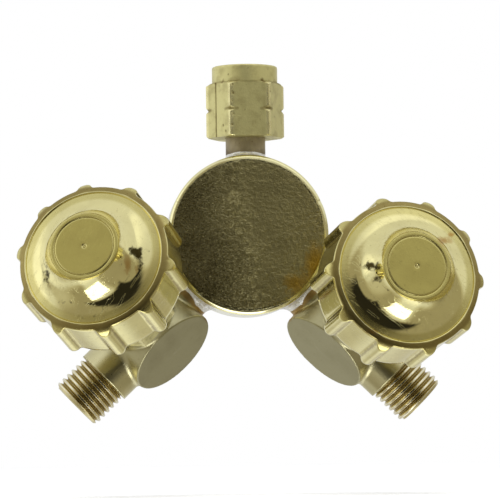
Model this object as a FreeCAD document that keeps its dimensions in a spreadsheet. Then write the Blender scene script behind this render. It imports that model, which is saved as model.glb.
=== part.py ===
"""Y connection for hose gas: a swivel inlet nut, a round hub and two needle valves with handwheels.

Millimetres, +Z up along the inlet, the front looks along -Y, and the origin is the centre of the
hub's flat back face. Every piece is a solid of its own.
"""
import FreeCAD, Part
import math
import os
import re

import Sketcher

# Driving dimensions: name, value, what it is
DIMENSIONS = [
    # Hub
    ("hub_radius", 20.5, "radius of the round hub"),
    ("hub_thickness", 16.0, "thickness of the hub between its two faces"),
    ("hub_edge_round", 0.9, "round on both edges of the hub"),
    ("socket_depth", 6.0, "depth of the three brazed sockets in the rim"),
    ("gas_way_radius", 2.0, "drilled gas ways of the hub and of the valve inlets"),
    ("outlet_angle", 44.0, "slope of the outlets below the horizontal, degrees"),
    ("braze_gap", 0.05, "radial gap of a brazed shank in its socket"),
    ("inlet_braze_leg", 0.9, "leg of the braze fillet round the nipple"),
    ("outlet_braze_leg", 2.1, "leg of the braze fillets round the valve shanks"),
    ("braze_toe", 0.12, "how far the round of a braze fillet dips below the rim"),
    # Inlet nipple and nut
    ("nipple_radius", 5.1, "shank of the inlet nipple"),
    ("nipple_bore", 1.8, "gas way of the nipple"),
    ("nipple_collar_radius", 6.2, "collar that holds the nut"),
    ("nipple_collar_length", 2.5, "length of that collar"),
    ("nose_root_radius", 5.8, "nose where it leaves the collar"),
    ("nose_tip_radius", 3.3, "flat tip of the nose"),
    ("nose_length", 4.1, "length of the nose"),
    ("nose_round", 6.5, "radius of the nose's rounded flank"),
    ("nut_start", 25.3, "underside of the nut above the hub's centre"),
    ("nut_flats", 17.46, "across flats of the nut"),
    ("nut_hex_length", 14.0, "length of the hexagon"),
    ("nut_collar_radius", 8.4, "round collar above the hexagon"),
    ("nut_collar_length", 4.4, "length of that collar"),
    ("nut_collar_round", 0.45, "round on the collar's edge"),
    ("nut_floor", 3.0, "shoulder that bears on the nipple's collar"),
    ("nut_chamfer", 1.1, "radial depth of the hexagon's corner chamfers at the collar"),
    ("nut_foot_chamfer", 0.6, "radial depth of the corner chamfers at its underside"),
    ("nut_notch_depth", 0.75, "depth of the notch across each corner"),
    ("nut_notch_width", 1.3, "width of the notch at the corner"),
    ("inlet_thread_radius", 6.45, "wall of the nut's threaded bore"),
    ("inlet_thread_length", 7.3, "length of the threaded wall"),
    ("inlet_mouth_chamfer", 0.8, "lead-in of the threaded bore"),
    ("nut_relief_radius", 7.25, "undercut behind the thread"),
    ("swivel_clearance", 0.1, "radial clearance of the nut on the nipple"),
    ("swivel_end_gap", 0.2, "axial gap between the nut's shoulder and the collar"),
    ("inlet_nut_turn", 4.4, "turn of the nut about the inlet, degrees"),
    # Valve bodies, measured from the crossing of the outlet line and the stem line
    ("valve_offset", 34.5, "hub's centre to the stem line"),
    ("left_stem_tilt", 25.0, "lean of the left stem from straight forward, degrees"),
    ("right_stem_tilt", 17.0, "lean of the right stem from straight forward, degrees"),
    ("body_radius", 12.0, "round part of the forged body"),
    ("body_width", 17.5, "body between its two flats"),
    ("flat_edge_round", 0.25, "round on the edges of the flats"),
    ("shank_radius", 6.35, "shank brazed into the hub"),
    ("boss_radius", 8.4, "bonnet boss"),
    ("boss_height", 16.0, "shoulder of the bonnet boss"),
    ("neck_radius", 7.9, "threaded neck under the packing nut"),
    ("neck_length", 7.0, "length of that neck"),
    ("neck_chamfer", 0.5, "chamfer on the neck"),
    ("outlet_reach", 61.5, "hub's centre to the end of an outlet"),
    ("outlet_thread_radius", 7.14, "outside of the outlet thread"),
    ("outlet_thread_length", 10.0, "length of the outlet thread"),
    ("outlet_chamfer", 0.8, "chamfer on the outlet's end"),
    ("outlet_collar_radius", 7.55, "plain collar behind the thread"),
    ("collar_fillet", 0.7, "fillet where that collar leaves the body"),
    ("outlet_bore_radius", 3.4, "bore that takes the hose nipple's nose"),
    ("outlet_bore_depth", 8.0, "depth of that bore"),
    ("outlet_mouth_radius", 5.2, "mouth of its seat cone"),
    ("outlet_way_radius", 1.8, "slanted gas way from the valve chamber"),
    # Inside a valve
    ("seat_radius", 1.5, "drilled seat that the ball closes"),
    ("seat_height", 3.2, "seat edge above the outlet line"),
    ("chamber_radius", 3.6, "valve chamber"),
    ("chamber_top", 8.5, "start of the stem thread in the body"),
    ("ball_radius", 2.38, "seat ball"),
    ("ball_gap", 0.03, "ball above its seat when shut"),
    ("ball_play", 0.05, "clearance of the ball in its pocket"),
    ("lip_drop", 0.7, "stem end below the ball's centre"),
    ("tip_radius", 3.2, "stem end round the ball"),
    ("tip_chamfer", 0.3, "chamfer on the stem's end and thread"),
    ("stem_thread_radius", 4.0, "stem thread"),
    ("stem_thread_start", 8.9, "lower end of the stem thread"),
    ("thread_clearance", 0.05, "radial clearance of the stem thread"),
    ("stem_travel", 2.65, "lift of the stem from shut to open"),
    ("travel_reserve", 0.65, "stem thread to packing washer when open"),
    ("stem_radius", 3.175, "plain stem"),
    ("stem_clearance", 0.08, "radial clearance of the stem in washer, gland and nut"),
    ("seal_clearance", 0.02, "radial clearance of the packing ring"),
    ("packing_floor", 17.0, "floor of the packing bore"),
    ("packing_radius", 5.2, "packing bore"),
    ("ring_clearance", 0.1, "radial clearance of washer and gland in that bore"),
    ("washer_thickness", 0.9, "packing washer"),
    ("packing_length", 3.2, "packing ring"),
    ("gland_length", 3.4, "gland follower"),
    ("gland_flange_radius", 6.6, "flange of the gland follower"),
    ("gland_flange_gap", 0.3, "flange above the neck"),
    # Packing nut
    ("packing_nut_flats", 19.05, "across flats of the packing nut"),
    ("packing_nut_gap", 0.2, "underside of the nut above the boss shoulder"),
    ("packing_nut_hex", 9.0, "length of its hexagon"),
    ("packing_nut_dome", 3.3, "height of the dome above the hexagon"),
    ("packing_nut_dome_round", 5.5, "radius of the dome's flank"),
    ("packing_nut_top_radius", 5.5, "flat top of the dome"),
    ("packing_nut_chamfer", 0.9, "radial depth of its corner chamfers"),
    ("packing_nut_clearance", 0.05, "radial clearance on the neck"),
    ("packing_nut_turn", 5.0, "turn of the packing nut about the stem, degrees"),
    # Handwheel
    ("wheel_reach", 60.6, "outlet line to the wheel's boss face"),
    ("wheel_boss_radius", 8.7, "flat boss in the wheel's middle"),
    ("wheel_face_drop", 7.6, "boss face to the flat ring"),
    ("wheel_boss_wall", 0.5, "straight wall of the boss above the flank"),
    ("wheel_flank_width", 5.6, "boss to the foot of the flank"),
    ("wheel_flank_round", 12.0, "radius of the slightly hollow flank"),
    ("wheel_rim_radius", 18.6, "skirt between the lobes"),
    ("wheel_edge_width", 1.5, "skirt between the lobes to the edge of the flat ring"),
    ("wheel_depth", 15.0, "flat ring to the skirt's back edge"),
    ("wheel_turned_drop", 2.7, "drop of the turned front edge outside the lobes"),
    ("wheel_turned_round", 4.4, "radius of the turned front edge"),
    ("wheel_turned_margin", 0.3, "how far outside the lobes that edge is turned"),
    ("wheel_lobe_height", 1.7, "height of the lobes over the skirt"),
    ("wheel_lobe_round", 1.9, "radius of a lobe's crest"),
    ("wheel_lobe_fillet", 1.6, "fillet between a lobe and the skirt"),
    ("wheel_lobe_count", 10, "lobes round the skirt"),
    ("wheel_wall", 2.2, "thickness of the skirt"),
    ("wheel_web", 2.4, "thickness of the front web"),
    ("wheel_inner_round", 1.5, "round inside the skirt"),
    ("wheel_sleeve_radius", 5.4, "sleeve round the stem"),
    ("wheel_sleeve_back", 2.0, "sleeve behind the skirt's back edge"),
    ("wheel_crown", 3.6, "metal over the end of the stem"),
    ("wheel_fit", 0.02, "radial clearance of the stem in the wheel"),
    ("stem_end_gap", 0.1, "end of the stem to the bottom of its hole"),
    ("wheel_groove_radius", 7.4, "fine groove in the boss face"),
    ("wheel_groove_width", 0.5, "width of that groove"),
    ("wheel_groove_depth", 0.3, "depth of that groove"),
    ("wheel_dimple_radius", 0.75, "centre dimple"),
    ("wheel_dimple_depth", 0.7, "depth of the dimple"),
    ("left_wheel_turn", 19.1, "turn of the left wheel about its stem, degrees"),
    ("right_wheel_turn", 4.9, "turn of the right wheel about its stem, degrees"),
]

# How far a cutting outline runs past the metal it cuts
OVERRUN = 1.0

LEFT = -1
RIGHT = 1
SIDE_NAMES = {LEFT: "left", RIGHT: "right"}

# Heights along a stem, built up from the driving dimensions
BALL_HEIGHT = "seat_height + sqrt(ball_radius ^ 2 - seat_radius ^ 2) + ball_gap"
STEM_TIP = f"{BALL_HEIGHT} - lip_drop"
STEM_THREAD_TOP = "packing_floor - stem_travel - travel_reserve"
WASHER_TOP = "packing_floor + washer_thickness"
PACKING_TOP = f"{WASHER_TOP} + packing_length"
GLAND_TOP = f"{PACKING_TOP} + gland_length"
NECK_TOP = "boss_height + neck_length"
NUT_BOTTOM = "boss_height + packing_nut_gap"
NUT_HEX_TOP = f"{NUT_BOTTOM} + packing_nut_hex"
NUT_TOP = f"{NUT_HEX_TOP} + packing_nut_dome"
RING_HEIGHT = "wheel_reach - wheel_face_drop"
SKIRT_BACK = f"{RING_HEIGHT} - wheel_depth"
STEM_HOLE_TOP = "wheel_reach - wheel_crown"
LOBE_REACH = "wheel_rim_radius + wheel_lobe_height"

# Places along an outlet line, from the stem line
SHANK_END = "hub_radius - socket_depth - valve_offset"
OUTLET_END = "outlet_reach - valve_offset"
COLLAR_END = f"{OUTLET_END} - outlet_thread_length"
OUTLET_BORE_END = f"{OUTLET_END} - outlet_bore_depth"

# Heights along the inlet, from the hub's centre
NUT_HEX_END = "nut_start + nut_hex_length"
NUT_END = f"{NUT_HEX_END} + nut_collar_length"
NUT_FLOOR_TOP = "nut_start + nut_floor"
NIPPLE_COLLAR = f"{NUT_FLOOR_TOP} + swivel_end_gap"
NIPPLE_COLLAR_TOP = f"{NIPPLE_COLLAR} + nipple_collar_length"
NIPPLE_TIP = f"{NIPPLE_COLLAR_TOP} + nose_length"

doc = FreeCAD.newDocument("HoseY")
sheet = doc.addObject("Spreadsheet::Sheet", "Dimensions")
pieces = []


def fill_sheet():
    """Write the driving dimensions into the sheet, one named cell each."""
    for row, (name, value, meaning) in enumerate(DIMENSIONS, start=1):
        sheet.set(f"A{row}", meaning)
        sheet.set(f"B{row}", str(value))
        sheet.setAlias(f"B{row}", name)
    doc.recompute()


def bind(text):
    """Return an expression with each dimension's name pointed at the sheet."""
    return re.sub(r"[a-z]+(?:_[a-z]+)+", lambda found: "Dimensions." + found.group(0), text)


def number(text):
    """Return an expression's present value."""
    return float(sheet.evalExpression(bind(text)))


def new_body(name):
    """Start a sub-part whose label is its node name."""
    body = doc.addObject("PartDesign::Body", name)
    body.Label = name
    pieces.append(body)
    return body


def origin_feature(body, role):
    """Return an origin plane or axis of a body by its role."""
    return next(item for item in body.Origin.OriginFeatures if item.Role == role)


def arc_between(start, stop, radius, turn):
    """Return the short arc from start to stop, its centre on the left for turn 1, else the right."""
    chord = stop - start
    middle = (start + stop) / 2
    rise = math.sqrt(max(radius ** 2 - chord.Length ** 2 / 4, 0.0))
    normal = FreeCAD.Vector(-chord.y, chord.x, 0).normalize()
    centre = middle + normal * rise * turn
    first, last = (start, stop) if turn > 0 else (stop, start)
    begin = math.atan2(first.y - centre.y, first.x - centre.x)
    end = math.atan2(last.y - centre.y, last.x - centre.x)
    if end < begin:
        end += 2 * math.pi
    circle = Part.Circle(centre, FreeCAD.Vector(0, 0, 1), radius)
    return Part.ArcOfCircle(circle, begin, end)


def add_outline(sketch, corners):
    """Draw one closed outline whose corners and radii follow expressions.

    A corner is (x, y), or (x, y, radius, turn) where an arc ends there.
    """
    places = [FreeCAD.Vector(number(corner[0]), number(corner[1]), 0) for corner in corners]
    ends = []
    for index, start in enumerate(places):
        following = (index + 1) % len(corners)
        bend = corners[following][2:]
        if bend:
            radius, turn = bend
            edge = sketch.addGeometry(arc_between(start, places[following], number(radius), turn), False)
            ends.append((edge, 1, 2) if turn > 0 else (edge, 2, 1))
            mark = sketch.addConstraint(Sketcher.Constraint("Radius", edge, number(radius)))
            sketch.setExpression(f"Constraints[{mark}]", bind(radius))
        else:
            edge = sketch.addGeometry(Part.LineSegment(start, places[following]), False)
            ends.append((edge, 1, 2))
    for index, (edge, first, _last) in enumerate(ends):
        before, _first, last = ends[index - 1]
        sketch.addConstraint(Sketcher.Constraint("Coincident", before, last, edge, first))
        for kind, text in (("DistanceX", corners[index][0]), ("DistanceY", corners[index][1])):
            mark = sketch.addConstraint(Sketcher.Constraint(kind, -1, 1, edge, first, number(text)))
            sketch.setExpression(f"Constraints[{mark}]", bind(text))


def new_sketch(body, name, role, lift=None):
    """Start a sketch on one of the body's own origin planes, lifted off it where asked."""
    sketch = body.newObject("Sketcher::SketchObject", name)
    sketch.AttachmentSupport = (origin_feature(body, role), [""])
    sketch.MapMode = "FlatFace"
    if lift:
        sketch.setExpression("AttachmentOffset.Base.z", bind(lift))
    return sketch


def turned(body, name, kind, role, axis, outlines):
    """Revolve outlines drawn on an origin plane round one of the sketch's axes."""
    sketch = new_sketch(body, name + "_sketch", role)
    for corners in outlines:
        add_outline(sketch, corners)
    feature = body.newObject(f"PartDesign::{kind}", name)
    feature.Profile = sketch
    feature.ReferenceAxis = (sketch, [axis])
    feature.Angle = 360
    return feature


def add_turned(body, name, *outlines, role="XZ_Plane", axis="V_Axis"):
    """Add turned metal."""
    return turned(body, name, "Revolution", role, axis, outlines)


def cut_turned(body, name, *outlines, role="XZ_Plane", axis="V_Axis"):
    """Cut turned hollows, and make sure that they did cut."""
    doc.recompute()
    before = body.Shape.Volume
    feature = turned(body, name, "Groove", role, axis, outlines)
    doc.recompute()
    if body.Shape.Volume >= before:
        raise RuntimeError(f"{body.Label}: {name} cuts nothing")
    return feature


def add_prism(body, name, flats, bottom, length):
    """Add a hexagonal prism along Z with its corners on the X axis and every 60 degrees."""
    corner = f"({flats} / 2 / cos(30))"
    corners = [(f"{corner} * cos({60 * side})", f"{corner} * sin({60 * side})") for side in range(6)]
    sketch = new_sketch(body, name + "_sketch", "XY_Plane", bottom)
    add_outline(sketch, corners)
    pad = body.newObject("PartDesign::Pad", name)
    pad.Profile = sketch
    pad.setExpression("Length", bind(length))
    return pad


def drill(body, name, radius, start, stop):
    """Drill a straight hole from one point to another in the body's frame."""
    feature = body.newObject("PartDesign::SubtractiveCylinder", name)
    feature.setExpression("Radius", bind(radius))
    feature.Height = (stop - start).Length
    feature.Placement = FreeCAD.Placement(start, FreeCAD.Rotation(FreeCAD.Vector(0, 0, 1), stop - start))
    return feature


def corner_chamfer(flats, depth, height, upward):
    """Return the outline that cuts a hexagon's corners at 30 degrees, at its top or its bottom."""
    corner = f"{flats} / 2 / cos(30)"
    sign = "+" if upward else "-"
    back = "-" if upward else "+"
    return [
        (f"{corner} - {depth}", height),
        (f"{corner} + {depth}", f"{height} {back} 2 * {depth} * tan(30)"),
        (f"{corner} + {depth}", f"{height} {sign} {OVERRUN}"),
        (f"{corner} - {depth}", f"{height} {sign} {OVERRUN}"),
    ]


def hub_centre():
    """Return the point where the three gas ways meet, in the middle of the hub's thickness."""
    return FreeCAD.Vector(0, -number("hub_thickness / 2"), 0)


def outlet_direction(side):
    """Return the unit vector from the hub's centre down an outlet."""
    slope = math.radians(number("outlet_angle"))
    return FreeCAD.Vector(side * math.cos(slope), 0, -math.sin(slope))


def stem_direction(side):
    """Return the unit vector along a stem, from the body to its handwheel."""
    slope = math.radians(number("outlet_angle"))
    tilt = math.radians(number(f"{SIDE_NAMES[side]}_stem_tilt"))
    outward = FreeCAD.Vector(side * math.sin(slope), 0, math.cos(slope))
    return FreeCAD.Vector(0, -1, 0) * math.cos(tilt) + outward * math.sin(tilt)


def valve_placement(side, turn="0", height="0"):
    """Place a valve's piece: X down the outlet, Z up the stem, turned and lifted along the stem."""
    along = outlet_direction(side)
    stem = stem_direction(side)
    rotation = FreeCAD.Rotation(along, stem.cross(along), stem, "ZXY")
    base = hub_centre() + along * number("valve_offset")
    local = FreeCAD.Placement(
        FreeCAD.Vector(0, 0, number(height)),
        FreeCAD.Rotation(FreeCAD.Vector(0, 0, 1), number(turn)),
    )
    return FreeCAD.Placement(base, rotation) * local


def build_hub():
    """Thick round hub with rounded edges, three sockets in its rim and drilled gas ways."""
    body = new_body("hub")
    body.Placement = FreeCAD.Placement(hub_centre(), FreeCAD.Rotation())
    flat_edge = "hub_radius - hub_edge_round"
    add_turned(
        body,
        "hub_disc",
        [
            ("0", "-hub_thickness / 2"),
            (flat_edge, "-hub_thickness / 2"),
            ("hub_radius", "hub_edge_round - hub_thickness / 2", "hub_edge_round", 1),
            ("hub_radius", "hub_thickness / 2 - hub_edge_round"),
            (flat_edge, "hub_thickness / 2", "hub_edge_round", 1),
            ("0", "hub_thickness / 2"),
        ],
        role="XY_Plane",
    )
    floor = number("hub_radius - socket_depth")
    outside = number("hub_radius") + OVERRUN
    ports = (
        ("inlet", FreeCAD.Vector(0, 0, 1), "nipple_radius"),
        ("left", outlet_direction(LEFT), "shank_radius"),
        ("right", outlet_direction(RIGHT), "shank_radius"),
    )
    for name, direction, radius in ports:
        drill(body, f"{name}_gas_way", "gas_way_radius", FreeCAD.Vector(0, 0, 0), direction * outside)
        drill(body, f"{name}_socket", f"{radius} + braze_gap", direction * floor, direction * outside)
    return body


def build_inlet_nipple():
    """Nipple brazed into the hub, with the collar that holds the nut and a rounded nose."""
    body = new_body("inlet_nipple")
    body.Placement = FreeCAD.Placement(hub_centre(), FreeCAD.Rotation())
    socket_floor = "hub_radius - socket_depth"
    add_turned(
        body,
        "nipple_turning",
        [
            ("nipple_bore", socket_floor),
            ("nipple_radius", socket_floor),
            ("nipple_radius", NIPPLE_COLLAR),
            ("nipple_collar_radius", NIPPLE_COLLAR),
            ("nipple_collar_radius", NIPPLE_COLLAR_TOP),
            ("nose_root_radius", NIPPLE_COLLAR_TOP),
            ("nose_tip_radius", NIPPLE_TIP, "nose_round", 1),
            ("nipple_bore", NIPPLE_TIP),
        ],
    )
    return body


def build_inlet_nut():
    """Swivel nut: notched hexagon, round collar, shoulder below and threaded bore above."""
    body = new_body("inlet_nut")
    turn = FreeCAD.Rotation(FreeCAD.Vector(0, 0, 1), number("inlet_nut_turn"))
    body.Placement = FreeCAD.Placement(hub_centre(), turn)
    add_prism(body, "nut_hexagon", "nut_flats", "nut_start", "nut_hex_length")
    add_turned(
        body,
        "nut_collar",
        [
            ("0", "nut_start + nut_hex_length / 2"),
            ("nut_collar_radius", "nut_start + nut_hex_length / 2"),
            ("nut_collar_radius", f"{NUT_END} - nut_collar_round"),
            ("nut_collar_radius - nut_collar_round", NUT_END, "nut_collar_round", 1),
            ("0", NUT_END),
        ],
    )
    thread_top = f"{NUT_END} - inlet_mouth_chamfer"
    thread_bottom = f"{thread_top} - inlet_thread_length"
    hole = "nipple_radius + swivel_clearance"
    corner = "nut_flats / 2 / cos(30)"
    notch = "nut_start + nut_hex_length / 2"
    cut_turned(
        body,
        "nut_bore",
        [
            ("0", f"nut_start - {OVERRUN}"),
            (hole, f"nut_start - {OVERRUN}"),
            (hole, NUT_FLOOR_TOP),
            ("nut_relief_radius", NUT_FLOOR_TOP),
            ("nut_relief_radius", thread_bottom),
            ("inlet_thread_radius", thread_bottom),
            ("inlet_thread_radius", thread_top),
            ("inlet_thread_radius + inlet_mouth_chamfer", NUT_END),
            ("inlet_thread_radius + inlet_mouth_chamfer", f"{NUT_END} + {OVERRUN}"),
            ("0", f"{NUT_END} + {OVERRUN}"),
        ],
    )
    cut_turned(
        body,
        "nut_corners",
        corner_chamfer("nut_flats", "nut_foot_chamfer", "nut_start", False),
        corner_chamfer("nut_flats", "nut_chamfer", NUT_HEX_END, True),
        [
            (f"{corner} - nut_notch_depth", notch),
            (f"{corner} + nut_notch_depth", f"{notch} - nut_notch_width"),
            (f"{corner} + nut_notch_depth", f"{notch} + nut_notch_width"),
        ],
    )
    return body


def hub_slab(name, radius, inset):
    """Return a plain round slab on the hub's axis, set in from both of its faces."""
    slab = doc.addObject("Part::Cylinder", name)
    slab.setExpression("Radius", bind(radius))
    slab.setExpression("Height", bind(f"hub_thickness - 2 * {inset}"))
    slab.Placement = FreeCAD.Placement(
        FreeCAD.Vector(0, -number(inset), 0),
        FreeCAD.Rotation(FreeCAD.Vector(0, 0, 1), FreeCAD.Vector(0, -1, 0)),
    )
    return slab


def body_slab(name, side):
    """Return the plain round of a valve body, where its braze fillet may not reach."""
    slab = doc.addObject("Part::Cylinder", name)
    slab.setExpression("Radius", bind("body_radius"))
    slab.setExpression("Height", bind("body_width"))
    half = number("body_width / 2")
    across = FreeCAD.Placement(
        FreeCAD.Vector(0, -half, 0),
        FreeCAD.Rotation(FreeCAD.Vector(0, 0, 1), FreeCAD.Vector(0, 1, 0)),
    )
    slab.Placement = valve_placement(side) * across
    return slab


def build_braze(name, direction, shank, leg, neighbours):
    """Hollow braze fillet round a shank, seated on the rim between the hub's rounded edges."""
    outer = f"{shank} + {leg}"
    foot = f"sqrt(hub_radius ^ 2 - ({outer}) ^ 2) - {OVERRUN}"
    ring = doc.addObject("PartDesign::Body", f"{name}_ring")
    add_turned(
        ring,
        f"{name}_turning",
        [
            (shank, foot),
            (outer, foot),
            (outer, "hub_radius - braze_toe"),
            (shank, f"hub_radius - braze_toe + {leg}", leg, -1),
        ],
    )
    rotation = FreeCAD.Rotation(FreeCAD.Vector(0, 0, 1), direction)
    ring.Placement = FreeCAD.Placement(hub_centre(), rotation)
    fillet = ring
    for index, tool in enumerate([hub_slab(f"{name}_rim", "hub_radius", "0"), *neighbours]):
        cut = doc.addObject("Part::Cut", f"{name}_cut_{index}")
        cut.Base = fillet
        cut.Tool = tool
        fillet = cut
    braze = doc.addObject("Part::Common", name)
    braze.Label = name
    braze.Base = fillet
    braze.Tool = hub_slab(f"{name}_band", f"hub_radius + {outer}", "hub_edge_round")
    pieces.append(braze)
    return braze


def collar_edges(feature):
    """Return the names of the edges where the outlet collar leaves the round body."""
    reach = number("body_radius")
    radius = number("outlet_collar_radius")
    names = []
    for index, edge in enumerate(feature.Shape.Edges, start=1):
        points = edge.discretize(5)
        on_collar = all(abs(math.hypot(p.y, p.z) - radius) < 0.01 for p in points)
        on_round = all(abs(math.hypot(p.x, p.z) - reach) < 0.01 for p in points)
        if on_collar and on_round and points[0].x > 0:
            names.append(f"Edge{index}")
    return names


def build_valve_body(side):
    """Forged valve body: round with two flats, shank, bonnet boss and outlet, and drilled inside."""
    name = SIDE_NAMES[side]
    body = new_body(f"{name}_valve_body")
    half = "body_width / 2"
    flat_edge = "body_radius - flat_edge_round"
    add_turned(
        body,
        f"{name}_forging",
        [
            (f"-{half}", "0"),
            (f"-{half}", f"-({flat_edge})"),
            (f"flat_edge_round - {half}", "-body_radius", "flat_edge_round", 1),
            (f"{half} - flat_edge_round", "-body_radius"),
            (half, f"-({flat_edge})", "flat_edge_round", 1),
            (half, "0"),
        ],
        role="YZ_Plane",
        axis="H_Axis",
    )
    add_turned(
        body,
        f"{name}_shank_and_outlet",
        [
            (SHANK_END, "0"),
            (OUTLET_END, "0"),
            (OUTLET_END, "outlet_thread_radius - outlet_chamfer"),
            (f"{OUTLET_END} - outlet_chamfer", "outlet_thread_radius"),
            (COLLAR_END, "outlet_thread_radius"),
            (COLLAR_END, "outlet_collar_radius"),
            ("0", "outlet_collar_radius"),
            ("0", "shank_radius"),
            (SHANK_END, "shank_radius"),
        ],
        role="XY_Plane",
        axis="H_Axis",
    )
    doc.recompute()
    outlet = body.Tip
    fillet = body.newObject("PartDesign::Fillet", f"{name}_collar_fillet")
    fillet.Base = (outlet, collar_edges(outlet))
    fillet.setExpression("Radius", bind("collar_fillet"))
    add_turned(
        body,
        f"{name}_bonnet_boss",
        [
            ("0", "0"),
            ("boss_radius", "0"),
            ("boss_radius", "boss_height"),
            ("neck_radius", "boss_height"),
            ("neck_radius", f"{NECK_TOP} - neck_chamfer"),
            ("neck_radius - neck_chamfer", NECK_TOP),
            ("0", NECK_TOP),
        ],
    )
    stem_bore = "stem_thread_radius + thread_clearance"
    cut_turned(
        body,
        f"{name}_stem_bore",
        [
            ("0", "0"),
            ("seat_radius", "0"),
            ("seat_radius", "seat_height"),
            ("chamber_radius", "seat_height"),
            ("chamber_radius", "chamber_top"),
            (stem_bore, "chamber_top"),
            (stem_bore, "packing_floor"),
            ("packing_radius", "packing_floor"),
            ("packing_radius", f"{NECK_TOP} + {OVERRUN}"),
            ("0", f"{NECK_TOP} + {OVERRUN}"),
        ],
    )
    cone_start = f"{OUTLET_END} - (outlet_mouth_radius - outlet_bore_radius)"
    cut_turned(
        body,
        f"{name}_ports",
        [
            (f"{SHANK_END} - {OVERRUN}", "0"),
            ("gas_way_radius", "0"),
            ("gas_way_radius", "gas_way_radius"),
            (f"{SHANK_END} - {OVERRUN}", "gas_way_radius"),
        ],
        [
            (OUTLET_BORE_END, "0"),
            (f"{OUTLET_END} + {OVERRUN}", "0"),
            (f"{OUTLET_END} + {OVERRUN}", "outlet_mouth_radius"),
            (OUTLET_END, "outlet_mouth_radius"),
            (cone_start, "outlet_bore_radius"),
            (OUTLET_BORE_END, "outlet_bore_radius"),
        ],
        axis="H_Axis",
    )
    way_start = FreeCAD.Vector(number(f"{OUTLET_BORE_END} + outlet_way_radius"), 0, 0)
    way_stop = FreeCAD.Vector(number("seat_radius"), 0, number("chamber_top - outlet_way_radius"))
    drill(body, f"{name}_outlet_way", "outlet_way_radius", way_start, way_stop)
    body.Placement = valve_placement(side)
    return body


def build_stem_ball(side):
    """Seat ball held in the end of the stem."""
    name = f"{SIDE_NAMES[side]}_stem_ball"
    ball = doc.addObject("Part::Sphere", name)
    ball.Label = name
    ball.setExpression("Radius", bind("ball_radius"))
    ball.Placement = valve_placement(side, height=BALL_HEIGHT)
    pieces.append(ball)
    return ball


def build_valve_stem(side):
    """Stem with the ball's pocket, its thread and the plain length that carries the wheel."""
    name = SIDE_NAMES[side]
    body = new_body(f"{name}_valve_stem")
    thread_edge = "stem_thread_radius - tip_chamfer"
    add_turned(
        body,
        f"{name}_stem_turning",
        [
            ("0", STEM_TIP),
            ("tip_radius - tip_chamfer", STEM_TIP),
            ("tip_radius", f"{STEM_TIP} + tip_chamfer"),
            ("tip_radius", "stem_thread_start"),
            (thread_edge, "stem_thread_start"),
            ("stem_thread_radius", "stem_thread_start + tip_chamfer"),
            ("stem_thread_radius", f"{STEM_THREAD_TOP} - tip_chamfer"),
            (thread_edge, STEM_THREAD_TOP),
            ("stem_radius", STEM_THREAD_TOP),
            ("stem_radius", f"{STEM_HOLE_TOP} - stem_end_gap"),
            ("0", f"{STEM_HOLE_TOP} - stem_end_gap"),
        ],
    )
    pocket = body.newObject("PartDesign::SubtractiveSphere", f"{name}_ball_pocket")
    pocket.setExpression("Radius", bind("ball_radius + ball_play"))
    pocket.Placement = FreeCAD.Placement(FreeCAD.Vector(0, 0, number(BALL_HEIGHT)), FreeCAD.Rotation())
    body.Placement = valve_placement(side)
    return body


def build_ring(side, part, inner, outer, bottom, top):
    """Plain ring on a stem."""
    name = f"{SIDE_NAMES[side]}_{part}"
    body = new_body(name)
    add_turned(body, f"{name}_turning", [(inner, bottom), (outer, bottom), (outer, top), (inner, top)])
    body.Placement = valve_placement(side)
    return body


def build_gland(side):
    """Gland follower whose flange the packing nut presses down on the packing."""
    name = f"{SIDE_NAMES[side]}_gland"
    body = new_body(name)
    inner = "stem_radius + stem_clearance"
    outer = "packing_radius - ring_clearance"
    flange = f"{NECK_TOP} + gland_flange_gap"
    add_turned(
        body,
        f"{name}_turning",
        [
            (inner, PACKING_TOP),
            (outer, PACKING_TOP),
            (outer, flange),
            ("gland_flange_radius", flange),
            ("gland_flange_radius", GLAND_TOP),
            (inner, GLAND_TOP),
        ],
    )
    body.Placement = valve_placement(side)
    return body


def build_packing_nut(side):
    """Hexagonal packing nut with a domed top."""
    name = SIDE_NAMES[side]
    body = new_body(f"{name}_packing_nut")
    add_prism(body, f"{name}_nut_hexagon", "packing_nut_flats", NUT_BOTTOM, "packing_nut_hex")
    dome_root = "packing_nut_flats / 2 - packing_nut_chamfer / 2"
    add_turned(
        body,
        f"{name}_nut_dome",
        [
            ("0", NUT_BOTTOM),
            (dome_root, NUT_BOTTOM),
            (dome_root, NUT_HEX_TOP),
            ("packing_nut_top_radius", NUT_TOP, "packing_nut_dome_round", 1),
            ("0", NUT_TOP),
        ],
    )
    thread = "neck_radius + packing_nut_clearance"
    hole = "stem_radius + stem_clearance"
    cut_turned(
        body,
        f"{name}_nut_bore",
        [
            ("0", f"{NUT_BOTTOM} - {OVERRUN}"),
            (thread, f"{NUT_BOTTOM} - {OVERRUN}"),
            (thread, GLAND_TOP),
            (hole, GLAND_TOP),
            (hole, f"{NUT_TOP} + {OVERRUN}"),
            ("0", f"{NUT_TOP} + {OVERRUN}"),
        ],
        corner_chamfer("packing_nut_flats", "packing_nut_chamfer", NUT_BOTTOM, False),
        corner_chamfer("packing_nut_flats", "packing_nut_chamfer", NUT_HEX_TOP, True),
    )
    body.Placement = valve_placement(side, turn="packing_nut_turn")
    return body


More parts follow.
